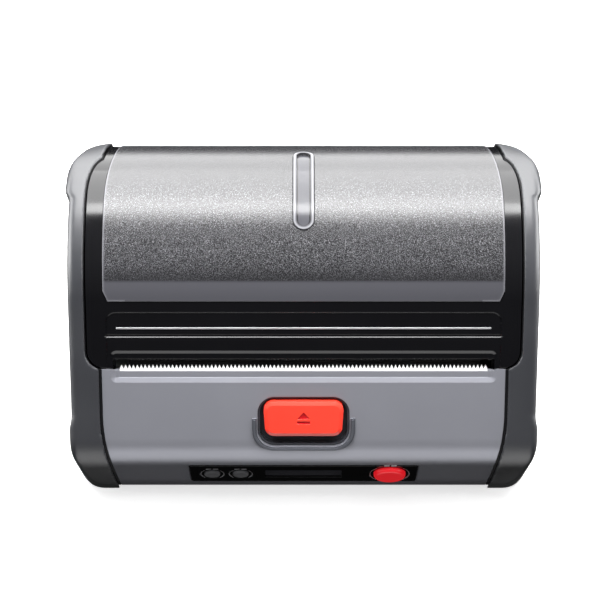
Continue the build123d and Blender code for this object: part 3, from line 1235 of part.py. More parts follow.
def make_cradle():
    """The curved paper tray on four legs, with slots for the two paper guides."""
    tray = arc_sector(TROUGH_OUTER, TROUGH_RADIUS, trough_angle(-1), trough_angle(1),
                      -TROUGH_HALF, TROUGH_HALF, BAY)
    rear = radians(trough_angle(1))
    edge_y, edge_z = ROLL_Y + TROUGH_OUTER * cos(rear), ROLL_Z + TROUGH_OUTER * sin(rear)
    step_y, step_z, low_y, low_z = SHELF_ROOT
    wall_y = HALF_DEPTH - WALL - SHELF_END
    low_drop, top_drop = SHELF_DROP
    outline = [
        (edge_y - step_y, edge_z + step_z),
        (edge_y - low_y, edge_z - low_z),
        (wall_y, REAR_WALL_TOP - low_drop),
        (wall_y, REAR_WALL_TOP - top_drop),
    ]
    tray += side_prism(outline, -SHELF_HALF, SHELF_HALF)
    half_x, half_y = LEG_HALF
    foot, leg_top = BODY_BOTTOM + WALL, ROLL_Z - LEG_TOP
    for side in (-1, 1):
        x = side * (PAPER_HALF - LEG_INSET)
        for y in (ROLL_Y - LEG_SPACING / 2, ROLL_Y + LEG_SPACING / 2):
            leg = block(x - half_x, x + half_x, y - half_y, y + half_y, foot, leg_top)
            tray += leg - rod(TROUGH_RADIUS + LEG_LAP, -FAR, FAR, *BAY)
    for side in (-1, 1):
        slot_y = ROLL_Y + side * RACK_OFFSET
        outer, inner = GUIDE_X + GUIDE_THICKNESS + GUIDE_END_GAP, GUIDE_X - GUIDE_TRAVEL - GUIDE_END_GAP
        x0, x1 = sorted((side * outer, side * inner))
        slot_half = GUIDE_NECK / 2 + GUIDE_FIT
        tray -= block(x0, x1, slot_y - slot_half, slot_y + slot_half, 0, ROLL_Z)
    tray += post(GUIDE_POST_RADIUS, 0, ROLL_Y, RACK_Z, ROLL_Z - TROUGH_RADIUS - TROUGH_WALL / 2)
    return largest(tray)


def rack_teeth(side, start, end):
    """The teeth of one guide's rack, in mesh with the pinion between the two racks."""
    root = ROLL_Y + side * (RACK_PITCH_LINE + DEDENDUM * RACK_MODULE)
    tip = ROLL_Y + side * (RACK_PITCH_LINE - RACK_MODULE)
    slant = RACK_MODULE * tan(radians(PRESSURE_ANGLE))
    root_half = RACK_PITCH / 4 + DEDENDUM * slant - BACKLASH / 2
    tip_half = RACK_PITCH / 4 - slant - BACKLASH / 2
    count = int((end - start) / RACK_PITCH) - 1
    first = ceil(start / RACK_PITCH) + 0.5
    teeth = []
    for index in range(count):
        x = (first + index) * RACK_PITCH
        points = [(x - root_half, root), (x + root_half, root), (x + tip_half, tip), (x - tip_half, tip)]
        teeth.append(plan_prism(make_face(Polyline(*points, close=True)), RACK_Z, RACK_Z + RACK_THICKNESS))
    return teeth


def make_guides():
    """Two paper guides on racks that one pinion moves together, each with a turning roll hub."""
    pieces = {}
    for side, name in ((1, "right"), (-1, "left")):
        inner, outer = side * GUIDE_X, side * (GUIDE_X + GUIDE_THICKNESS)
        x0, x1 = sorted((inner, outer))
        plate = rod(GUIDE_RADIUS, x0, x1, *BAY) - block(x0 - 1, x1 + 1, -FAR, FAR, ROLL_Z + GUIDE_FLAT, FAR)
        y = ROLL_Y + side * RACK_OFFSET
        neck_top = ROLL_Z - GUIDE_RADIUS + GUIDE_ROOT
        plate += block(x0, x1, y - GUIDE_NECK / 2, y + GUIDE_NECK / 2, RACK_Z, neck_top)
        r0, r1 = sorted((outer, -side * RACK_OVERRUN))
        plate += block(r0, r1, y - RACK_WIDTH / 2, y + RACK_WIDTH / 2, RACK_Z, RACK_Z + RACK_THICKNESS)
        for tooth in rack_teeth(side, r0, r1):
            plate += tooth
        tip = inner - side * HUB_LENGTH
        p0, p1 = sorted((inner, tip))
        plate += rod(HUB_PIN_RADIUS, p0, p1, *BAY)
        h0, h1 = sorted((inner - side * HUB_GAP, tip))
        hub = rod(HUB_RADIUS, h0, h1, *BAY)
        ends = hub.edges().filter_by(GeomType.CIRCLE).sort_by(Axis.X)
        hub = chamfer(ends[0] if side > 0 else ends[-1], HUB_CHAMFER)
        hub -= rod(HUB_PIN_RADIUS + RUNNING, h0 - 1, h1 + 1, *BAY)
        pieces["paper_guide_" + name] = plate
        pieces["roll_hub_" + name] = hub
    face = gear_face(GUIDE_PINION_TEETH, RACK_MODULE, pi / 2) - Circle(GUIDE_POST_RADIUS + RUNNING)
    pieces["guide_pinion"] = extrude(Pos(0, ROLL_Y, RACK_Z) * face, amount=RACK_THICKNESS)
    return pieces


def make_power():
    """Battery pack with its end cap, charging socket and the socket's rubber flap."""
    cap_y = HALF_DEPTH - CAP_DEPTH
    pack = block(-BATTERY_HALF, BATTERY_HALF, BATTERY_FRONT, cap_y, BATTERY_BOTTOM, BATTERY_TOP)
    pack = fillet(pack.edges().filter_by(Axis.Y), BATTERY_CORNER)
    cap = block(-BATTERY_HALF, BATTERY_HALF, cap_y, FAR, BATTERY_BOTTOM, BATTERY_TOP) & envelope(0.0)
    grip_y = HALF_DEPTH - GRIP_DEPTH
    grip_low, grip_top = BATTERY_BOTTOM + GRIP_MARGIN, BATTERY_TOP - GRIP_MARGIN
    for index in range(GRIP_COUNT):
        x = (index - (GRIP_COUNT - 1) / 2) * GRIP_PITCH
        cap -= block(x - GRIP_WIDTH / 2, x + GRIP_WIDTH / 2, grip_y, FAR, grip_low, grip_top)
    rear = HALF_DEPTH - WALL
    half, height = SOCKET_WIDTH / 2 + SOCKET_RIM, SOCKET_HEIGHT / 2 + SOCKET_RIM
    body = block(SOCKET_X - half, SOCKET_X + half, rear - SOCKET_REACH, rear + SOCKET_LEAD,
                 SOCKET_Z - height, SOCKET_Z + height)
    width, rise = SOCKET_WIDTH - 2 * SOCKET_SHELL, SOCKET_HEIGHT - 2 * SOCKET_SHELL
    hole = RectangleRounded(width, rise, SOCKET_RADIUS)
    depth = SOCKET_REACH + SOCKET_LEAD - SOCKET_WALL
    body -= Pos(SOCKET_X, rear + SOCKET_LEAD, SOCKET_Z) * Rot(90, 0, 0) * extrude(hole, amount=depth)
    tongue_half = TONGUE_THICKNESS / 2
    tongue = block(SOCKET_X - TONGUE_HALF, SOCKET_X + TONGUE_HALF, rear - SOCKET_REACH + SOCKET_BACK,
                   rear - TONGUE_SINK, SOCKET_Z - tongue_half, SOCKET_Z + tongue_half)
    flap_half = FLAP_WIDTH / 2
    flap = block(SOCKET_X - flap_half, SOCKET_X + flap_half, HALF_DEPTH - FLAP_THICKNESS, HALF_DEPTH,
                 FLAP_PIN_Z, SOCKET_Z + FLAP_HEIGHT / 2)
    flap = fillet(flap.edges().filter_by(Axis.Y).group_by(Axis.Z)[-1], FLAP_CORNER)
    pin_half = flap_half + FLAP_PIN_END
    flap += rod(FLAP_PIN_RADIUS, SOCKET_X - pin_half, SOCKET_X + pin_half, FLAP_PIN_Y, FLAP_PIN_Z)
    return {"battery_pack": pack, "battery_cap": cap, "charge_socket": body + tongue, "port_flap": flap}


def make_main_board():
    """The main board with its chips, connectors and capacitors."""
    board = block(-MAIN_BOARD_HALF, MAIN_BOARD_HALF, MAIN_BOARD_FRONT, MAIN_BOARD_REAR,
                  MAIN_BOARD_Z, MAIN_BOARD_Z + BOARD_THICKNESS)
    top = MAIN_BOARD_Z + BOARD_THICKNESS
    for x, setback, width, depth, height in BOARD_PARTS:
        y = MAIN_BOARD_FRONT + setback
        board += block(x - width / 2, x + width / 2, y - depth / 2, y + depth / 2, top, top + height)
    for side in (-1, 1):
        for y in BOARD_SCREW_YS:
            board -= post(SCREW_RADIUS + SCREW_FIT, side * BOARD_SCREW_X, y, 0, top + 1)
    return board


def make_screws():
    board, chassis, housing = [], [], []
    top = MAIN_BOARD_Z + BOARD_THICKNESS
    for side in (-1, 1):
        for y in BOARD_SCREW_YS:
            board.append(Pos(side * BOARD_SCREW_X, y, top) * screw(SCREW_RADIUS, BOARD_SCREW_LENGTH))
        for y in CHASSIS_SCREW_YS:
            place = Pos(side * CHASSIS_SCREW_X, y, CHASSIS_FLOOR + CHASSIS_SHEET)
            chassis.append(place * screw(SCREW_RADIUS, CHASSIS_SCREW_LENGTH))
        head_top = BODY_BOTTOM + HOUSING_SCREW_SINK
        place = Pos(side * HOUSING_SCREW_X, HOUSING_SCREW_Y, head_top) * Rot(180, 0, 0)
        housing.append(place * screw(SCREW_RADIUS, HOUSING_SCREW_LENGTH))
    return {"board_screws": Compound(board), "chassis_screws": Compound(chassis),
            "housing_screws": Compound(housing)}


def make_hinge_pins():
    pins = []
    for side in (-1, 1):
        inner, outer = BARREL_HALF - PIN_DEPTH + PIN_END_GAP, BARREL_HALF + KNUCKLE_GAP + KNUCKLE_LENGTH
        x0, x1 = sorted((side * inner, side * outer))
        pins.append(rod(HINGE_PIN_RADIUS, x0, x1, HINGE_Y, HINGE_HEIGHT))
    return Compound(pins)


def make_peel_bar():
    bar = Cylinder(PEEL_RADIUS - PEEL_FIT, 2 * PEEL_HALF)
    bar = chamfer(bar.edges().filter_by(GeomType.CIRCLE), PEEL_EDGE)
    return DECK * Pos(0, PEEL_A, -FIELD_DEPTH) * Rot(0, 90, 0) * bar


def make_sensor():
    """The paper sensor under the deck, just behind the platen."""
    low = -WALL - SENSOR_DEPTH
    body = deck_block(-SENSOR_HALF, SENSOR_HALF, SENSOR_A, SENSOR_A + SENSOR_LENGTH, low, -WALL)
    for x in (-SENSOR_HALF / 2, SENSOR_HALF / 2):
        body -= DECK * Pos(x, SENSOR_A + SENSOR_LENGTH / 2, low) * Cylinder(SENSOR_EYE, 1.0)
    return body


def build():
    """Every named piece, by the name of its node."""
    pieces = {}
    pieces.update(make_bumpers())
    pieces["base_shell"] = make_base_shell()
    pieces["front_housing"] = make_front_housing()
    pieces["tear_bar"] = make_tear_bar()
    pieces["button_well"] = make_button_well()
    pieces["open_button"] = make_open_button()
    pieces["open_button_spring"] = make_button_spring()
    pieces["control_bezel"] = make_bezel()
    pieces["feed_key"] = make_key(KEY_XS[0], KEY_RADIUS, KEY_PROUD)
    pieces["mode_key"] = make_key(KEY_XS[1], KEY_RADIUS, KEY_PROUD)
    pieces["power_key"] = make_key(POWER_X, POWER_RADIUS, POWER_PROUD)
    pieces["key_board"] = make_key_board()
    pieces["display_module"] = make_display()
    pieces["cover_frame"] = make_cover_frame()
    pieces["cover_window"] = make_window()
    pieces["paper_gauge"] = make_gauge()
    pieces["peel_bar"] = make_peel_bar()
    pieces["paper_sensor"] = make_sensor()
    pieces["hinge_pins"] = make_hinge_pins()
    pieces.update(make_platen())
    pieces.update(make_gear_train())
    pieces["mechanism_chassis"] = make_chassis()
    pieces.update(make_head())
    pieces.update(make_latch())
    pieces["roll_cradle"] = make_cradle()
    pieces.update(make_guides())
    pieces.update(make_power())
    pieces["main_board"] = make_main_board()
    pieces.update(make_screws())
    return pieces


if __name__ == "__main__":
    os.makedirs("parts", exist_ok=True)
    for name, piece in build().items():
        export_step(piece, "parts/" + name + ".step")
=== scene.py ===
from math import cos, radians, sin

import bmesh
import bpy
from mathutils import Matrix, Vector


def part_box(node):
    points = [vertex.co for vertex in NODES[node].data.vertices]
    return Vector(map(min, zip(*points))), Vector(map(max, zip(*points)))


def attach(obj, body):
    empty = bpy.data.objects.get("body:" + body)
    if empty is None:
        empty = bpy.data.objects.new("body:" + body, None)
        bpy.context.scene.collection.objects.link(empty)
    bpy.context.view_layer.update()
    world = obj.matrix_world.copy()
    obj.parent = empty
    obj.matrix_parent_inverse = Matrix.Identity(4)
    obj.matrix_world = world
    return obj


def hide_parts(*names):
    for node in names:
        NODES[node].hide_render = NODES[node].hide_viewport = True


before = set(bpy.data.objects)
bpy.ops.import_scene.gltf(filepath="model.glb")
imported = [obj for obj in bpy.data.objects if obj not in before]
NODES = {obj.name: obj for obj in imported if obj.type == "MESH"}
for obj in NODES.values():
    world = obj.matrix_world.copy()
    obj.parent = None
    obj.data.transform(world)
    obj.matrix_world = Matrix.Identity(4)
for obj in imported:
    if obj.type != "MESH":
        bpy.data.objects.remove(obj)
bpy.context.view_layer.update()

# The photograph's view: almost straight down, from the front
CAMERA_ELEVATION = radians(76.0)
CAMERA_DISTANCE = 0.65
CAMERA_AIM = Vector((-0.0011, 0.0, 0.040))
CAMERA_LENS = 125.5

# The window's frosted field, between the window's own ends, its ribs and its side rims, whose edges carry a
# painted highlight
WINDOW_FRONT, WINDOW_REAR = [corner.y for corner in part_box("cover_window")]
FROST_BORDER = 0.0055
FROST_BLUR = 0.0006
FROST_ONSET = 0.0060
FROST_ONSET_SHARE = 0.3
FROST_FADE = 0.0120
FROST_FADE_SHARE = 0.35
FROST_SCALE = 3700.0
FROST_ROUGHNESS = 0.7
FROST_DEPTH = 4.0e-5
FLECK_RANGE = (0.5, 0.8)
SMOKE_SCALE = 22.0
RIB_PITCH = 0.0146
RIB_WIDTH = (0.0002, 0.0012)
RIB_STRENGTH = 0.35
WINDOW_SIDE = 0.0540
SIDE_BLUR = 0.0002
SIDE_RIM = 0.0012
WINDOW_EDGE = 0.0004

# The cover's round back, seen from the side, and the clear gauge that follows it
BACK_CENTRE = (0.014641, 0.025991)
BACK_RADIUS = 0.038309
GAUGE_ENDS = (radians(38.0), radians(88.4))
GAUGE_HALF = 0.0032
GAUGE_RIM = 0.0011
GAUGE_RIM_BLUR = 0.0003
GAUGE_LINE = 0.0004
GAUGE_LINE_BLUR = 0.0001
BAY_SCALE = 160.0

# The plane of the sloping front: its lean, a point on it, and its directions outwards and upwards
FRONT_LEAN = radians(30.5)
FRONT_ORIGIN = Vector((0.0, -0.02165, 0.048727))
FRONT_OUT = Vector((0.0, -sin(FRONT_LEAN), cos(FRONT_LEAN)))
FRONT_UP = Vector((0.0, cos(FRONT_LEAN), sin(FRONT_LEAN)))

# The release mark sunk into the button, and the bead raised on the housing, in that plane
MARK_CENTRE = -0.0174
MARK_HALF = 0.0026
MARK_HEIGHT = 0.00155
MARK_BLUR = 0.0001
BEAD_REACH = 0.0220
BEAD_HEIGHT = (0.0001, 0.0003)

# The printed marks round the keys, on the panel's leaning face
PANEL_LEAN = radians(12.0)
PANEL_UP = Vector((0.0, sin(PANEL_LEAN), cos(PANEL_LEAN)))
KEY_NODES = ("feed_key", "mode_key", "power_key")
KEY_FLANGE = 0.0007
ARC_MARGIN = 0.0010
ARC_WIDTH = 0.0003
ARC_CUT = 0.68
DASH_LIFT = 0.0007
DASH_OFFSET = 0.0011
DASH_HALF = (0.0008, 0.00035)
PRINT_BLUR = 0.00005

# Moulded surfaces: their soft patches of tone, their grain, and how finely rounded edges are sampled
PATCH_SCALE = 60.0
PATCH_DETAIL = 3.0
PATCH_SPREAD = (0.3, 0.7)
GRAIN_DETAIL = 2.0
GRAIN_ROUGHNESS = 0.6
EDGE_SAMPLES = 6
EDGE_MASK_SAMPLES = 8
EDGE_TURN = (0.995, 0.93)

# The cells that the rubber skin is rebuilt from, and how its outer rims are rolled over
SKIN_CELL = 0.0005
RIM_START = 0.0680
RIM_RAMP = 0.0015
RIM_PASSES = 30
RIM_EASE = 0.5

# How the rear corners of the bumpers sweep forwards towards their outer sides
SWEEP_START = 0.0620
SWEEP_RATE = 0.18
SWEEP_Y = (0.020, 0.042)

# The floor's size and glow, and how strong the studio is from below to above and from the front to the rear
FLOOR_SIZE = 3.0
FLOOR_GLOW = 0.62
SKY_RISE = (0.1, 0.8)
SKY_STRENGTH = (0.02, 0.28)
SKY_DEPTH = (-0.75, -0.1)
SKY_FRONT = (0.42, 1.0)


def linear(code):
    """A colour given as an sRGB hex code, in linear light with full alpha."""
    values = [int(code[i:i + 2], 16) / 255 for i in (1, 3, 5)]
    return [v / 12.92 if v <= 0.04045 else ((v + 0.055) / 1.055) ** 2.4 for v in values] + [1.0]


def add(tree, kind, links=None, **values):
    """A node with its attributes set; links maps input names to values or to other nodes' sockets."""
    node = tree.nodes.new(kind)
    for name, value in values.items():
        setattr(node, name, value)
    for name, value in (links or {}).items():
        if isinstance(value, bpy.types.NodeSocket):
            tree.links.new(value, node.inputs[name])
        else:
            node.inputs[name].default_value = value
    return node


def new_material(name):
    """A new material: itself, its empty node tree and the object's coordinates."""
    material = bpy.data.materials.new(name)
    material.use_nodes = True
    tree = material.node_tree
    tree.nodes.clear()
    return material, tree, add(tree, "ShaderNodeTexCoord").outputs["Object"]


def coordinates(tree, place):
    """The X, Y and Z of a place."""
    return add(tree, "ShaderNodeSeparateXYZ", {"Vector": place}).outputs


def calculate(tree, operation, first, second=None):
    """One sum on one or two values."""
    links = {0: first} if second is None else {0: first, 1: second}
    return add(tree, "ShaderNodeMath", links, operation=operation).outputs["Value"]


def measure(tree, operation, first, second=None):
    """One measure of a vector, or of two."""
    links = {0: first} if second is None else {0: first, 1: second}
    return add(tree, "ShaderNodeVectorMath", links, operation=operation).outputs["Value"]


def remap(tree, value, source, result=(0.0, 1.0), kind="LINEAR"):
    """A value carried from the range source to the range result, and held at its ends."""
    links = {"Value": value, "From Min": source[0], "From Max": source[1],
             "To Min": result[0], "To Max": result[1]}
    return add(tree, "ShaderNodeMapRange", links, interpolation_type=kind).outputs["Result"]


def between(tree, value, low, high, blur):
    """1 where value lies between low and high, 0 outside, with soft ends."""
    rise = remap(tree, value, (low - blur, low + blur), kind="SMOOTHSTEP")
    fall = remap(tree, value, (high - blur, high + blur), (1.0, 0.0), "SMOOTHSTEP")
    return calculate(tree, "MULTIPLY", rise, fall)


def noise(tree, place, scale, detail, roughness=0.5):
    """Soft noise whose values lie about one half."""
    links = {"Vector": place, "Scale": scale, "Detail": detail, "Roughness": roughness}
    return add(tree, "ShaderNodeTexNoise", links).outputs["Fac"]


def blend(tree, factor, under, over):
    """A colour laid over another by a factor; each is a hex code or another node's socket."""
    under, over = [linear(colour) if isinstance(colour, str) else colour for colour in (under, over)]
    return add(tree, "ShaderNodeMix", {"Factor": factor, 6: under, 7: over}, data_type="RGBA").outputs[2]


def patches(tree, place, low, high):
    """Two close tones in soft patches."""
    return blend(tree, noise(tree, place, PATCH_SCALE, PATCH_DETAIL), low, high)


def relief(tree, height, depth, edge, strength=1.0):
    """The normals of a face with rounded edges, raised by the pattern height."""
    rounded = add(tree, "ShaderNodeBevel", {"Radius": edge}, samples=EDGE_SAMPLES).outputs["Normal"]
    links = {"Height": height, "Strength": strength, "Distance": depth, "Normal": rounded}
    return add(tree, "ShaderNodeBump", links).outputs["Normal"]


def grain(tree, place, scale, depth, edge):
    """The normals of a fine moulded grain on faces whose edges are rounded."""
    return relief(tree, noise(tree, place, scale, GRAIN_DETAIL, GRAIN_ROUGHNESS), depth, edge)


def edge_mask(tree, radius):
    """1 along the edges of a piece and 0 on its open faces."""
    rounded = add(tree, "ShaderNodeBevel", {"Radius": radius}, samples=EDGE_MASK_SAMPLES).outputs["Normal"]
    flat = add(tree, "ShaderNodeNewGeometry").outputs["Normal"]
    return remap(tree, measure(tree, "DOT_PRODUCT", rounded, flat), EDGE_TURN)


def finish_surface(tree, **inputs):
    """The shader of a surface, its inputs named with _ for a space, and the material's output."""
    links = {key.replace("_", " "): value for key, value in inputs.items()}
    shader = add(tree, "ShaderNodeBsdfPrincipled", links)
    add(tree, "ShaderNodeOutputMaterial", {"Surface": shader.outputs["BSDF"]})


def plastic(name, low, high, roughness, scale, depth, edge=0.0002, **shader):
    """A moulded surface: two close tones in soft patches, uneven gloss, and a spark-eroded grain."""
    material, tree, place = new_material(name)
    soft = noise(tree, place, PATCH_SCALE, PATCH_DETAIL)
    finish_surface(tree, Base_Color=blend(tree, soft, low, high),
                   Roughness=remap(tree, soft, PATCH_SPREAD, roughness),
                   Normal=grain(tree, place, scale, depth, edge), **shader)
    return material


def frosted(name):
    """Smoky polycarbonate: a coarse frost over the roll, a plain border, faint ribs behind it, and a painted
    highlight along its side rims.
    """
    material, tree, place = new_material(name)
    x, y, _ = coordinates(tree, place)
    front, rear = WINDOW_FRONT + FROST_BORDER, WINDOW_REAR - FROST_FADE
    field = between(tree, y, front, WINDOW_REAR, FROST_BLUR)
    fade = remap(tree, y, (rear - FROST_FADE, rear), (1.0, FROST_FADE_SHARE), "SMOOTHSTEP")
    onset = remap(tree, y, (front, front + FROST_ONSET), (FROST_ONSET_SHARE, 1.0), "SMOOTHSTEP")
    coarse = calculate(tree, "MULTIPLY", field, calculate(tree, "MULTIPLY", onset, fade))
    speck = noise(tree, place, FROST_SCALE, GRAIN_DETAIL, FROST_ROUGHNESS)
    rib = remap(tree, calculate(tree, "PINGPONG", x, RIB_PITCH / 2), RIB_WIDTH, (RIB_STRENGTH, 0.0))
    smoke = blend(tree, noise(tree, place, SMOKE_SCALE, PATCH_DETAIL), "#0f0f11", "#252528")
    ribbed = blend(tree, rib, smoke, "#1c1c1e")
    flecks = calculate(tree, "MULTIPLY", remap(tree, speck, FLECK_RANGE), coarse)
    bordered = blend(tree, field, "#424247", blend(tree, flecks, ribbed, "#88888c"))
    # A painted highlight: the edges of the window's side rims are painted a paler grey.
    sides = remap(tree, calculate(tree, "ABSOLUTE", x), (WINDOW_SIDE - SIDE_BLUR, WINDOW_SIDE))
    rim_highlight = calculate(tree, "MULTIPLY", edge_mask(tree, SIDE_RIM), sides)
    finish_surface(tree, Base_Color=blend(tree, rim_highlight, bordered, "#626267"), Roughness=0.25,
                   Specular_IOR_Level=0.8, Normal=relief(tree, speck, FROST_DEPTH, WINDOW_EDGE, coarse))
    return material


def clear_window(name):
    """Clear polycarbonate: the dim bay behind it is painted on as painted shade, and its raised rim is painted
    paler as a painted highlight.
    """
    material, tree, place = new_material(name)
    x, y, z = coordinates(tree, place)
    ahead = calculate(tree, "SUBTRACT", y, BACK_CENTRE[0])
    above = calculate(tree, "SUBTRACT", z, BACK_CENTRE[1])
    arc = calculate(tree, "MULTIPLY", calculate(tree, "ARCTAN2", above, ahead), BACK_RADIUS)
    low, high = [BACK_RADIUS * end for end in GAUGE_ENDS]
    spine = add(tree, "ShaderNodeClamp", {"Value": arc, "Min": low + GAUGE_HALF, "Max": high - GAUGE_HALF})
    past = calculate(tree, "SUBTRACT", arc, spine.outputs["Result"])
    away = measure(tree, "LENGTH", add(tree, "ShaderNodeCombineXYZ", {"X": x, "Y": past}).outputs["Vector"])
    inner = GAUGE_HALF - GAUGE_RIM
    # A painted highlight: the raised rim round the gauge is painted a paler grey.
    rim_highlight = between(tree, away, inner + GAUGE_LINE, GAUGE_HALF - GAUGE_LINE / 2, GAUGE_RIM_BLUR)
    line = between(tree, away, inner - GAUGE_LINE, inner, GAUGE_LINE_BLUR)
    # Painted shade: the dim bay seen through the clear gauge is painted on in dark greys.
    shaded_bay = blend(tree, noise(tree, place, BAY_SCALE, GRAIN_DETAIL), "#34343a", "#4a4a4e")
    lined = blend(tree, line, shaded_bay, "#1c1c1e")
    finish_surface(tree, Base_Color=blend(tree, rim_highlight, lined, "#7c7c80"), Roughness=0.16,
                   Normal=grain(tree, place, 1500.0, 1e-6, 0.0003))
    return material


def key_marks(tree, place):
    """1 on the marks printed round the keys: an arc at each side of a key and two dashes above it."""
    x = coordinates(tree, place)["X"]
    rise = measure(tree, "DOT_PRODUCT", place, PANEL_UP)
    face = add(tree, "ShaderNodeCombineXYZ", {"X": x, "Y": rise}).outputs["Vector"]
    total = 0.0
    for node in KEY_NODES:
        low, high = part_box(node)
        middle = (low + high) / 2
        key = (middle.x, middle.dot(PANEL_UP), 0.0)
        radius = (high.x - low.x) / 2 - KEY_FLANGE + ARC_MARGIN
        ring = between(tree, measure(tree, "DISTANCE", face, key), radius, radius + ARC_WIDTH, PRINT_BLUR)
        away = calculate(tree, "ABSOLUTE", calculate(tree, "SUBTRACT", x, key[0]))
        beside = calculate(tree, "GREATER_THAN", away, radius * ARC_CUT)
        arcs = calculate(tree, "MULTIPLY", ring, beside)
        level = key[1] + radius + DASH_LIFT
        length = between(tree, away, DASH_OFFSET - DASH_HALF[0], DASH_OFFSET + DASH_HALF[0], PRINT_BLUR)
        height = between(tree, rise, level - DASH_HALF[1], level + DASH_HALF[1], PRINT_BLUR)
        dashes = calculate(tree, "MULTIPLY", length, height)
        total = calculate(tree, "MAXIMUM", total, calculate(tree, "MAXIMUM", arcs, dashes))
    return total


def printed_panel(name):
    """Gloss black acrylic with pale marks screen-printed round the keys."""
    material, tree, place = new_material(name)
    tone = patches(tree, place, "#050506", "#08080a")
    ink = key_marks(tree, place)
    finish_surface(tree, Base_Color=blend(tree, ink, tone, "#cacacc"),
                   Roughness=remap(tree, ink, (0.0, 1.0), (0.1, 0.5)),
                   Normal=grain(tree, place, 2500.0, 1e-6, 0.0001))
    return material


def marked_button(name):
    """Satin red ABS whose sunk release mark is filled with a deeper red."""
    material, tree, place = new_material(name)
    tone = patches(tree, place, "#f23a2a", "#f84434")
    across = calculate(tree, "ABSOLUTE", coordinates(tree, place)["X"])
    height = measure(tree, "DOT_PRODUCT", place, FRONT_OUT)
    rise = measure(tree, "DOT_PRODUCT", place, FRONT_UP)
    middle = FRONT_ORIGIN.dot(FRONT_UP) + MARK_CENTRE
    beside = calculate(tree, "LESS_THAN", across, MARK_HALF)
    sunk = calculate(tree, "LESS_THAN", height, FRONT_ORIGIN.dot(FRONT_OUT) + MARK_HEIGHT)
    near = between(tree, rise, middle - MARK_HALF, middle + MARK_HALF, MARK_BLUR)
    mark = calculate(tree, "MULTIPLY", calculate(tree, "MULTIPLY", beside, sunk), near)
    finish_surface(tree, Base_Color=blend(tree, mark, tone, "#b8161c"), Roughness=0.26,
                   Specular_IOR_Level=0.6, Normal=grain(tree, place, 6000.0, 3e-6, 0.0002))
    return material


def beaded_housing(name):
    """Grey paint with a fine metallic lacquer, darker on the raised bead below the button."""
    material, tree, place = new_material(name)
    tone = patches(tree, place, "#8f9098", "#9798a0")
    across = calculate(tree, "ABSOLUTE", coordinates(tree, place)["X"])
    near = calculate(tree, "LESS_THAN", across, BEAD_REACH)
    level = FRONT_ORIGIN.dot(FRONT_OUT)
    proud = remap(tree, measure(tree, "DOT_PRODUCT", place, FRONT_OUT), [level + step for step in BEAD_HEIGHT])
    bead = calculate(tree, "MULTIPLY", near, proud)
    finish_surface(tree, Base_Color=blend(tree, bead, tone, "#5e6067"), Roughness=0.36, Metallic=0.5,
                   Normal=grain(tree, place, 6500.0, 4e-6, 0.00015))
    return material


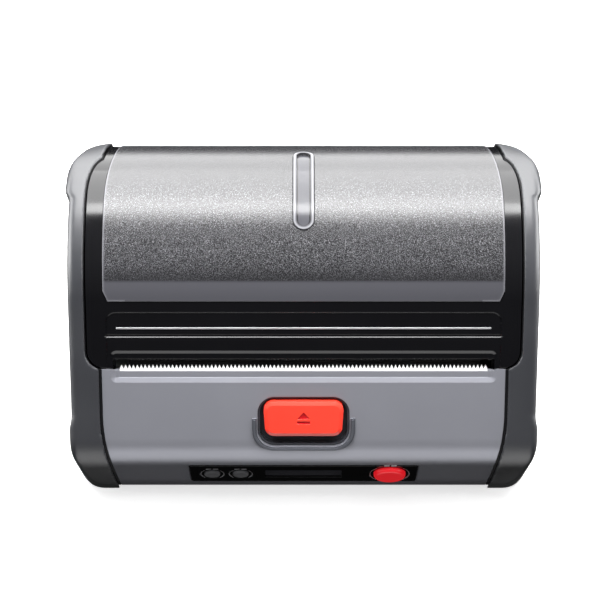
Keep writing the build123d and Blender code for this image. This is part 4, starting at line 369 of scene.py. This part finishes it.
# Each plastic: its name, its two tones, its least and most roughness, the scale and depth of its grain, and
# the radius of its edges
MATERIALS = [
    # thermoplastic rubber, moulded over the ends, satin
    (plastic("elastomer_overmould", "#2a2b2f", "#313236", (0.36, 0.44), 5200.0, 1.2e-5, 0.0006,
             Specular_IOR_Level=0.9), ["bumper_left", "bumper_right"]),
    # black ABS, polished mould
    (plastic("black_abs_gloss", "#050507", "#09090c", (0.12, 0.18), 2500.0, 2e-6, 0.0003), ["cover_frame"]),
    # black acrylic panel
    (printed_panel("black_acrylic"), ["control_bezel"]),
    # black ABS, eroded mould
    (plastic("black_abs_satin", "#0c0c0e", "#111114", (0.4, 0.5), 4200.0, 8e-6),
     ["roll_cradle", "latch_lever", "paper_guide_left", "paper_guide_right", "roll_hub_left",
      "roll_hub_right", "paper_sensor", "battery_pack", "battery_cap", "charge_socket", "port_flap"]),
    # black ABS, matt, of the case behind the gaps
    (plastic("black_abs_matt", "#08080a", "#0c0c0f", (0.5, 0.6), 3800.0, 1e-5, Specular_IOR_Level=0.3),
     ["base_shell"]),
    # dark grey ABS, eroded mould
    (plastic("dark_abs_satin", "#34353a", "#3a3b41", (0.4, 0.5), 4200.0, 8e-6), ["button_well"]),
    # grey painted ABS with a fine metallic lacquer
    (beaded_housing("grey_lacquer"), ["front_housing"]),
    # red ABS, fine satin, its sunk mark filled
    (marked_button("red_abs"), ["open_button"]),
    # red translucent silicone of the lit key
    (plastic("red_silicone", "#a4141c", "#ac1822", (0.34, 0.42), 6000.0, 3e-6,
             Emission_Color=linear("#ff1c28"), Emission_Strength=0.52), ["power_key"]),
    # grey silicone keys
    (plastic("grey_silicone", "#5c5c60", "#646468", (0.5, 0.6), 6000.0, 4e-6), ["feed_key", "mode_key"]),
    # bead-blasted and nickel-plated steel of the teeth
    (plastic("blasted_nickel", "#eeeeef", "#f8f8f8", (0.45, 0.55), 5000.0, 2e-6, 0.00005, Metallic=0.3),
     ["tear_bar"]),
    # drawn stainless wire of the peel bar
    (plastic("drawn_steel", "#bcbcbf", "#c6c6c9", (0.4, 0.48), 3000.0, 1e-6, 0.00005, Metallic=1.0),
     ["peel_bar"]),
    # ground and polished steel
    (plastic("polished_steel", "#d8d8da", "#e6e6e8", (0.26, 0.34), 3000.0, 1e-6, 0.00005, Metallic=1.0),
     ["platen_shaft", "idler_stud", "motor_shaft", "head_pivot_shaft", "latch_shaft", "hinge_pins"]),
    # zinc-plated sheet and screws
    (plastic("zinc_steel", "#a2a3a6", "#b4b5b8", (0.3, 0.45), 2500.0, 3e-6, Metallic=1.0),
     ["mechanism_chassis", "open_button_spring", "head_springs", "board_screws", "chassis_screws",
      "housing_screws", "stepper_motor"]),
    # extruded aluminium, black anodised
    (plastic("anodised_aluminium", "#101012", "#18181b", (0.4, 0.5), 3500.0, 2e-6, Metallic=0.5),
     ["print_head_sink"]),
    # turned brass
    (plastic("turned_brass", "#b08a3c", "#c49a48", (0.22, 0.34), 3500.0, 2e-6, Metallic=1.0),
     ["motor_pinion"]),
    # natural nylon of the gears
    (plastic("cast_nylon", "#d8d2c0", "#e2dccb", (0.4, 0.5), 3000.0, 4e-6),
     ["platen_gear", "idler_gear", "guide_pinion", "platen_bushings"]),
    # silicone rubber of the platen
    (plastic("silicone_roller", "#151515", "#1c1c1c", (0.55, 0.65), 4000.0, 5e-6), ["platen_roller"]),
    # glass-fibre board with green solder mask
    (plastic("solder_mask", "#0c3a20", "#125029", (0.25, 0.4), 1800.0, 6e-6), ["main_board", "key_board"]),
    # glazed alumina of the print head
    (plastic("glazed_ceramic", "#1a1a1c", "#232326", (0.12, 0.2), 3000.0, 1e-6), ["print_head_strip"]),
    # display glass, black printed
    (plastic("display_glass", "#5c5c64", "#64646c", (0.1, 0.16), 2000.0, 5e-7), ["display_module"]),
    # smoky polycarbonate with a frosted field
    (frosted("smoky_polycarbonate"), ["cover_window"]),
    # clear polycarbonate of the gauge
    (clear_window("clear_polycarbonate"), ["paper_gauge"]),
]
for material, nodes in MATERIALS:
    for node in nodes:
        mesh = NODES[node].data
        mesh.materials.clear()
        mesh.materials.append(material)


def rounded_bumper(node):
    """The bumper as one even skin whose outer rims are rolled over, as moulded rubber is."""
    piece = bpy.data.objects.new(node + "_skin", NODES[node].data.copy())
    bpy.context.collection.objects.link(piece)
    skin = piece.modifiers.new("even_skin", "REMESH")
    skin.mode = "VOXEL"
    skin.voxel_size = SKIN_CELL
    skin.use_smooth_shade = True
    graph = bpy.context.evaluated_depsgraph_get()
    mesh = bpy.data.meshes.new_from_object(piece.evaluated_get(graph))
    piece.modifiers.clear()
    piece.data = mesh
    rims = piece.vertex_groups.new(name="rims")
    for vertex in mesh.vertices:
        weight = (abs(vertex.co.x) - RIM_START) / RIM_RAMP
        if weight > 0:
            rims.add([vertex.index], min(weight, 1.0), "REPLACE")
        swept = min(max((vertex.co.y - SWEEP_Y[0]) / (SWEEP_Y[1] - SWEEP_Y[0]), 0.0), 1.0)
        outwards = max(abs(vertex.co.x) - SWEEP_START, 0.0)
        vertex.co.y -= SWEEP_RATE * outwards * swept * swept * (3 - 2 * swept)
    relax = piece.modifiers.new("rolled_rims", "SMOOTH")
    relax.factor = RIM_EASE
    relax.iterations = RIM_PASSES
    relax.vertex_group = "rims"
    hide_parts(node)
    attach(piece, "base")


for side in ("left", "right"):
    rounded_bumper("bumper_" + side)


def make_stage():
    """A glowing paper sweep that the object lies on."""
    ground = bmesh.new()
    bmesh.ops.create_grid(ground, x_segments=1, y_segments=1, size=FLOOR_SIZE)
    mesh = bpy.data.meshes.new("floor")
    ground.to_mesh(mesh)
    floor = bpy.data.objects.new("floor", mesh)
    bpy.context.collection.objects.link(floor)
    mesh.materials.append(plastic("paper_sweep", "#f4f4f4", "#f6f6f6", (0.8, 0.9), 900.0, 1e-6,
                                  Emission_Color=linear("#ffffff"), Emission_Strength=FLOOR_GLOW))
    floor.visible_glossy = False
    floor.visible_diffuse = False
    floor.visible_shadow = False


def make_sky():
    """A studio that is dim below and in front and brighter overhead, before a white backdrop."""
    world = bpy.data.worlds.new("studio")
    bpy.context.scene.world = world
    world.use_nodes = True
    tree = world.node_tree
    _, y, z = coordinates(tree, add(tree, "ShaderNodeTexCoord").outputs["Generated"])
    studio = calculate(tree, "MULTIPLY", remap(tree, z, SKY_RISE, SKY_STRENGTH),
                       remap(tree, y, SKY_DEPTH, SKY_FRONT))
    seen = add(tree, "ShaderNodeLightPath").outputs["Is Camera Ray"]
    background = tree.nodes["Background"].inputs
    tree.links.new(calculate(tree, "MAXIMUM", studio, seen), background["Strength"])
    background["Color"].default_value = (1.0, 1.0, 1.0, 1.0)


def area_light(name, place, target, size, power, diffuse=True, glossy=True):
    """A rectangular soft box at place, facing target."""
    lamp = bpy.data.lights.new(name, "AREA")
    lamp.shape = "RECTANGLE"
    lamp.size, lamp.size_y = size
    lamp.energy = power
    holder = bpy.data.objects.new(name, lamp)
    holder.location = place
    holder.rotation_euler = (Vector(target) - Vector(place)).to_track_quat("-Z", "Y").to_euler()
    holder.visible_diffuse = diffuse
    holder.visible_glossy = glossy
    holder.visible_camera = False
    bpy.context.collection.objects.link(holder)


def make_lights():
    """Soft boxes behind, above and beside; some are seen only in reflections and some never in them."""
    area_light("rear_box", (0.0, 0.56, 0.67), (0.0, 0.02, 0.05), (0.9, 0.15), 7.0)
    area_light("rear_panel", (0.0, 0.85, 0.40), (0.0, 0.02, 0.05), (0.9, 0.66), 13.0)
    area_light("rear_apron", (0.0, 0.60, -0.08), (0.0, 0.0, -0.08), (1.2, 0.34), 6.0, diffuse=False)
    area_light("top_box", (0.0, 0.35, 1.05), (0.0, 0.0, 0.0), (0.9, 0.6), 7.0, glossy=False)
    area_light("near_box", (0.0, 0.06, 0.23), (0.0, 0.0, 0.04), (0.4, 0.06), 0.85, glossy=False)
    area_light("front_card", (0.0, -0.8, -0.10), (0.0, 0.0, -0.10), (0.9, 0.6), 3.3, diffuse=False)
    for x in (-0.75, 0.75):
        area_light("side_box", (x, 0.05, 0.38), (0.0, 0.0, 0.04), (0.5, 0.25), 1.6)
        area_light("side_card", (x, 0.36, 0.02), (0.0, 0.36, 0.02), (0.85, 0.6), 11.0, diffuse=False)


def make_camera():
    """The camera of the photograph's view."""
    lens = bpy.data.cameras.new("photo_camera")
    lens.lens = CAMERA_LENS
    holder = bpy.data.objects.new("photo_camera", lens)
    back = Vector((0.0, -cos(CAMERA_ELEVATION), sin(CAMERA_ELEVATION)))
    holder.location = CAMERA_AIM + back * CAMERA_DISTANCE
    holder.rotation_euler = (-back).to_track_quat("-Z", "Y").to_euler()
    bpy.context.collection.objects.link(holder)
    bpy.context.scene.camera = holder


make_stage()
make_sky()
make_lights()
make_camera()
bpy.context.scene.view_settings.view_transform = "Standard"
